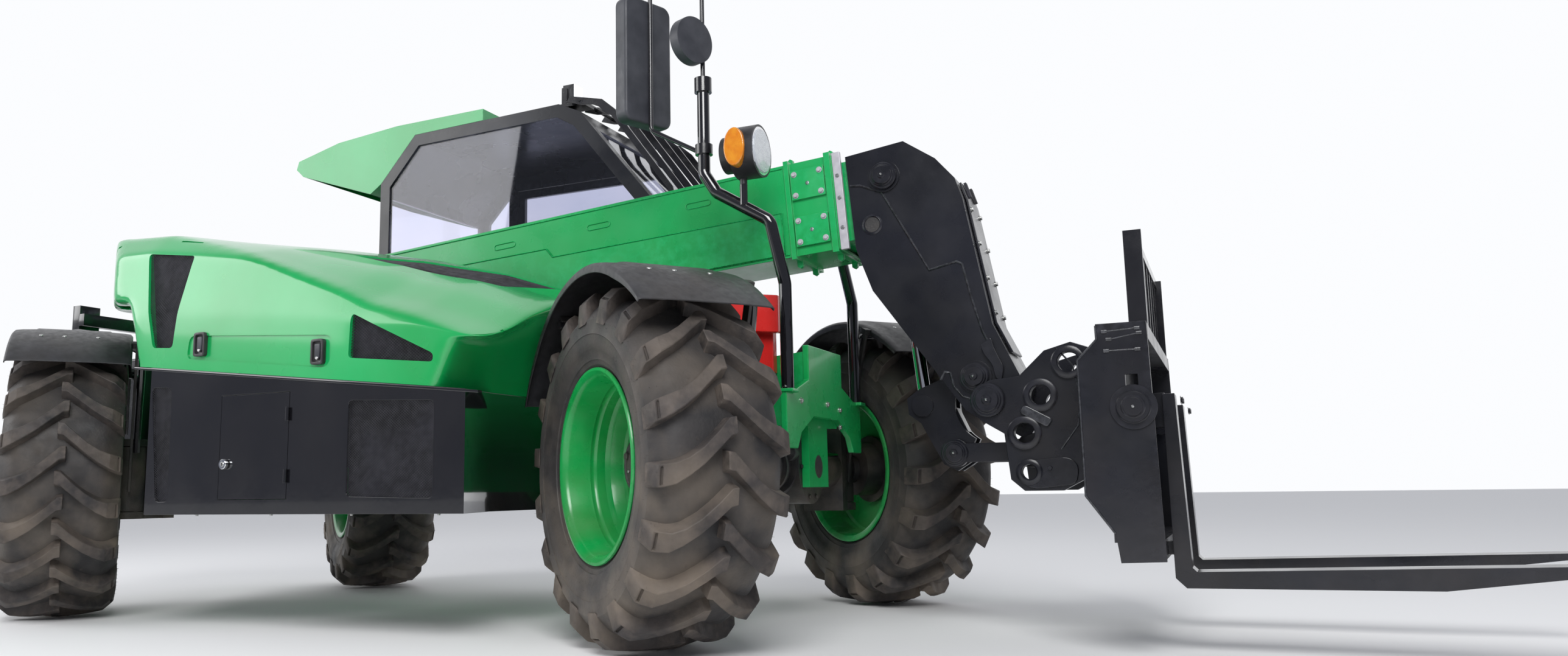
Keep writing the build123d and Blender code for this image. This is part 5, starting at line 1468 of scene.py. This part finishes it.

# %% [markdown]
# ## Floor, light and camera
# A plain pale floor, a sky that is white beyond the machine and dim behind the camera, and two large soft lights. The
# camera looks slightly up from beside the right front wheel, with the lens shifted a little for the framing.

# %% Stage, lights and camera
def stage():
    reach = 60
    corners_of_floor = [(x, y, -0.001) for x, y in ((-reach, -reach), (reach, -reach), (reach, reach), (-reach, reach))]
    floor = from_lists("floor", corners_of_floor, [(0, 1, 2, 3)])
    ground = bpy.data.materials.new("floor")
    ground.use_nodes = True
    ground.node_tree.nodes["Principled BSDF"].inputs["Base Color"].default_value = (0.97, 0.97, 0.97, 1)
    ground.node_tree.nodes["Principled BSDF"].inputs["Roughness"].default_value = 0.8
    floor.data.materials.append(ground)
    world = bpy.data.worlds.new("studio")
    bpy.context.scene.world = world
    world.use_nodes = True
    nodes, links = world.node_tree.nodes, world.node_tree.links
    # a white backdrop behind the object, and a dim room behind the camera for black paint to mirror
    way = nodes.new("ShaderNodeTexCoord")
    turn = nodes.new("ShaderNodeVectorMath")
    turn.operation = "DOT_PRODUCT"
    turn.inputs[1].default_value = (cos(radians(115.757)), sin(radians(115.757)), 0)
    span = nodes.new("ShaderNodeMapRange")
    span.interpolation_type = "SMOOTHSTEP"
    span.inputs["From Min"].default_value = -0.15
    span.inputs["From Max"].default_value = 0.6
    blend = nodes.new("ShaderNodeMix")
    blend.data_type = "RGBA"
    blend.inputs["A"].default_value = (0.20, 0.21, 0.25, 1)
    blend.inputs["B"].default_value = (0.97, 0.98, 1.0, 1)
    links.new(way.outputs["Generated"], turn.inputs[0])
    links.new(turn.outputs["Value"], span.inputs["Value"])
    links.new(span.outputs["Result"], blend.inputs["Factor"])
    links.new(blend.outputs["Result"], nodes["Background"].inputs["Color"])
    nodes["Background"].inputs["Strength"].default_value = 1.0
    bpy.context.scene.view_settings.view_transform = "Standard"


def soft_light(name, at, target, size, power):
    lamp = bpy.data.lights.new(name, "AREA")
    lamp.size = size
    lamp.energy = power
    made = bpy.data.objects.new(name, lamp)
    bpy.context.scene.collection.objects.link(made)
    made.location = at
    made.rotation_euler = (Vector(target) - Vector(at)).to_track_quat("-Z", "Y").to_euler()


def camera():
    """The camera's heading, tilt and roll in degrees, and its lens in millimetres on a 36 mm sensor."""
    heading, tilt, roll, lens = radians(115.757), radians(8.405), radians(-0.784), 25.62
    ahead = Vector((cos(heading) * cos(tilt), sin(heading) * cos(tilt), sin(tilt)))
    right = ahead.cross(Vector((0, 0, 1))).normalized()
    up = right.cross(ahead)
    right, up = right * cos(roll) + up * sin(roll), up * cos(roll) - right * sin(roll)
    data = bpy.data.cameras.new("camera")
    data.sensor_width = 36
    data.lens = lens
    data.shift_x = 0.0587
    data.shift_y = -0.0024
    made = bpy.data.objects.new("camera", data)
    bpy.context.scene.collection.objects.link(made)
    turn = Matrix((right, up, -ahead)).transposed().to_4x4()
    made.matrix_world = Matrix.Translation((3.1381, -4.2219, 0.5219)) @ turn
    bpy.context.scene.camera = made


stage()
soft_light("key", (4.0, -6.5, 6.0), (0.5, 0, 1.0), 4.0, 520)
soft_light("fill", (-6.5, -5.0, 4.5), (0, -0.5, 1.0), 5.0, 300)
camera()
for leftover in (bolt, small_bolt):
    bpy.data.objects.remove(leftover)
print(len(shown), "pieces shown")
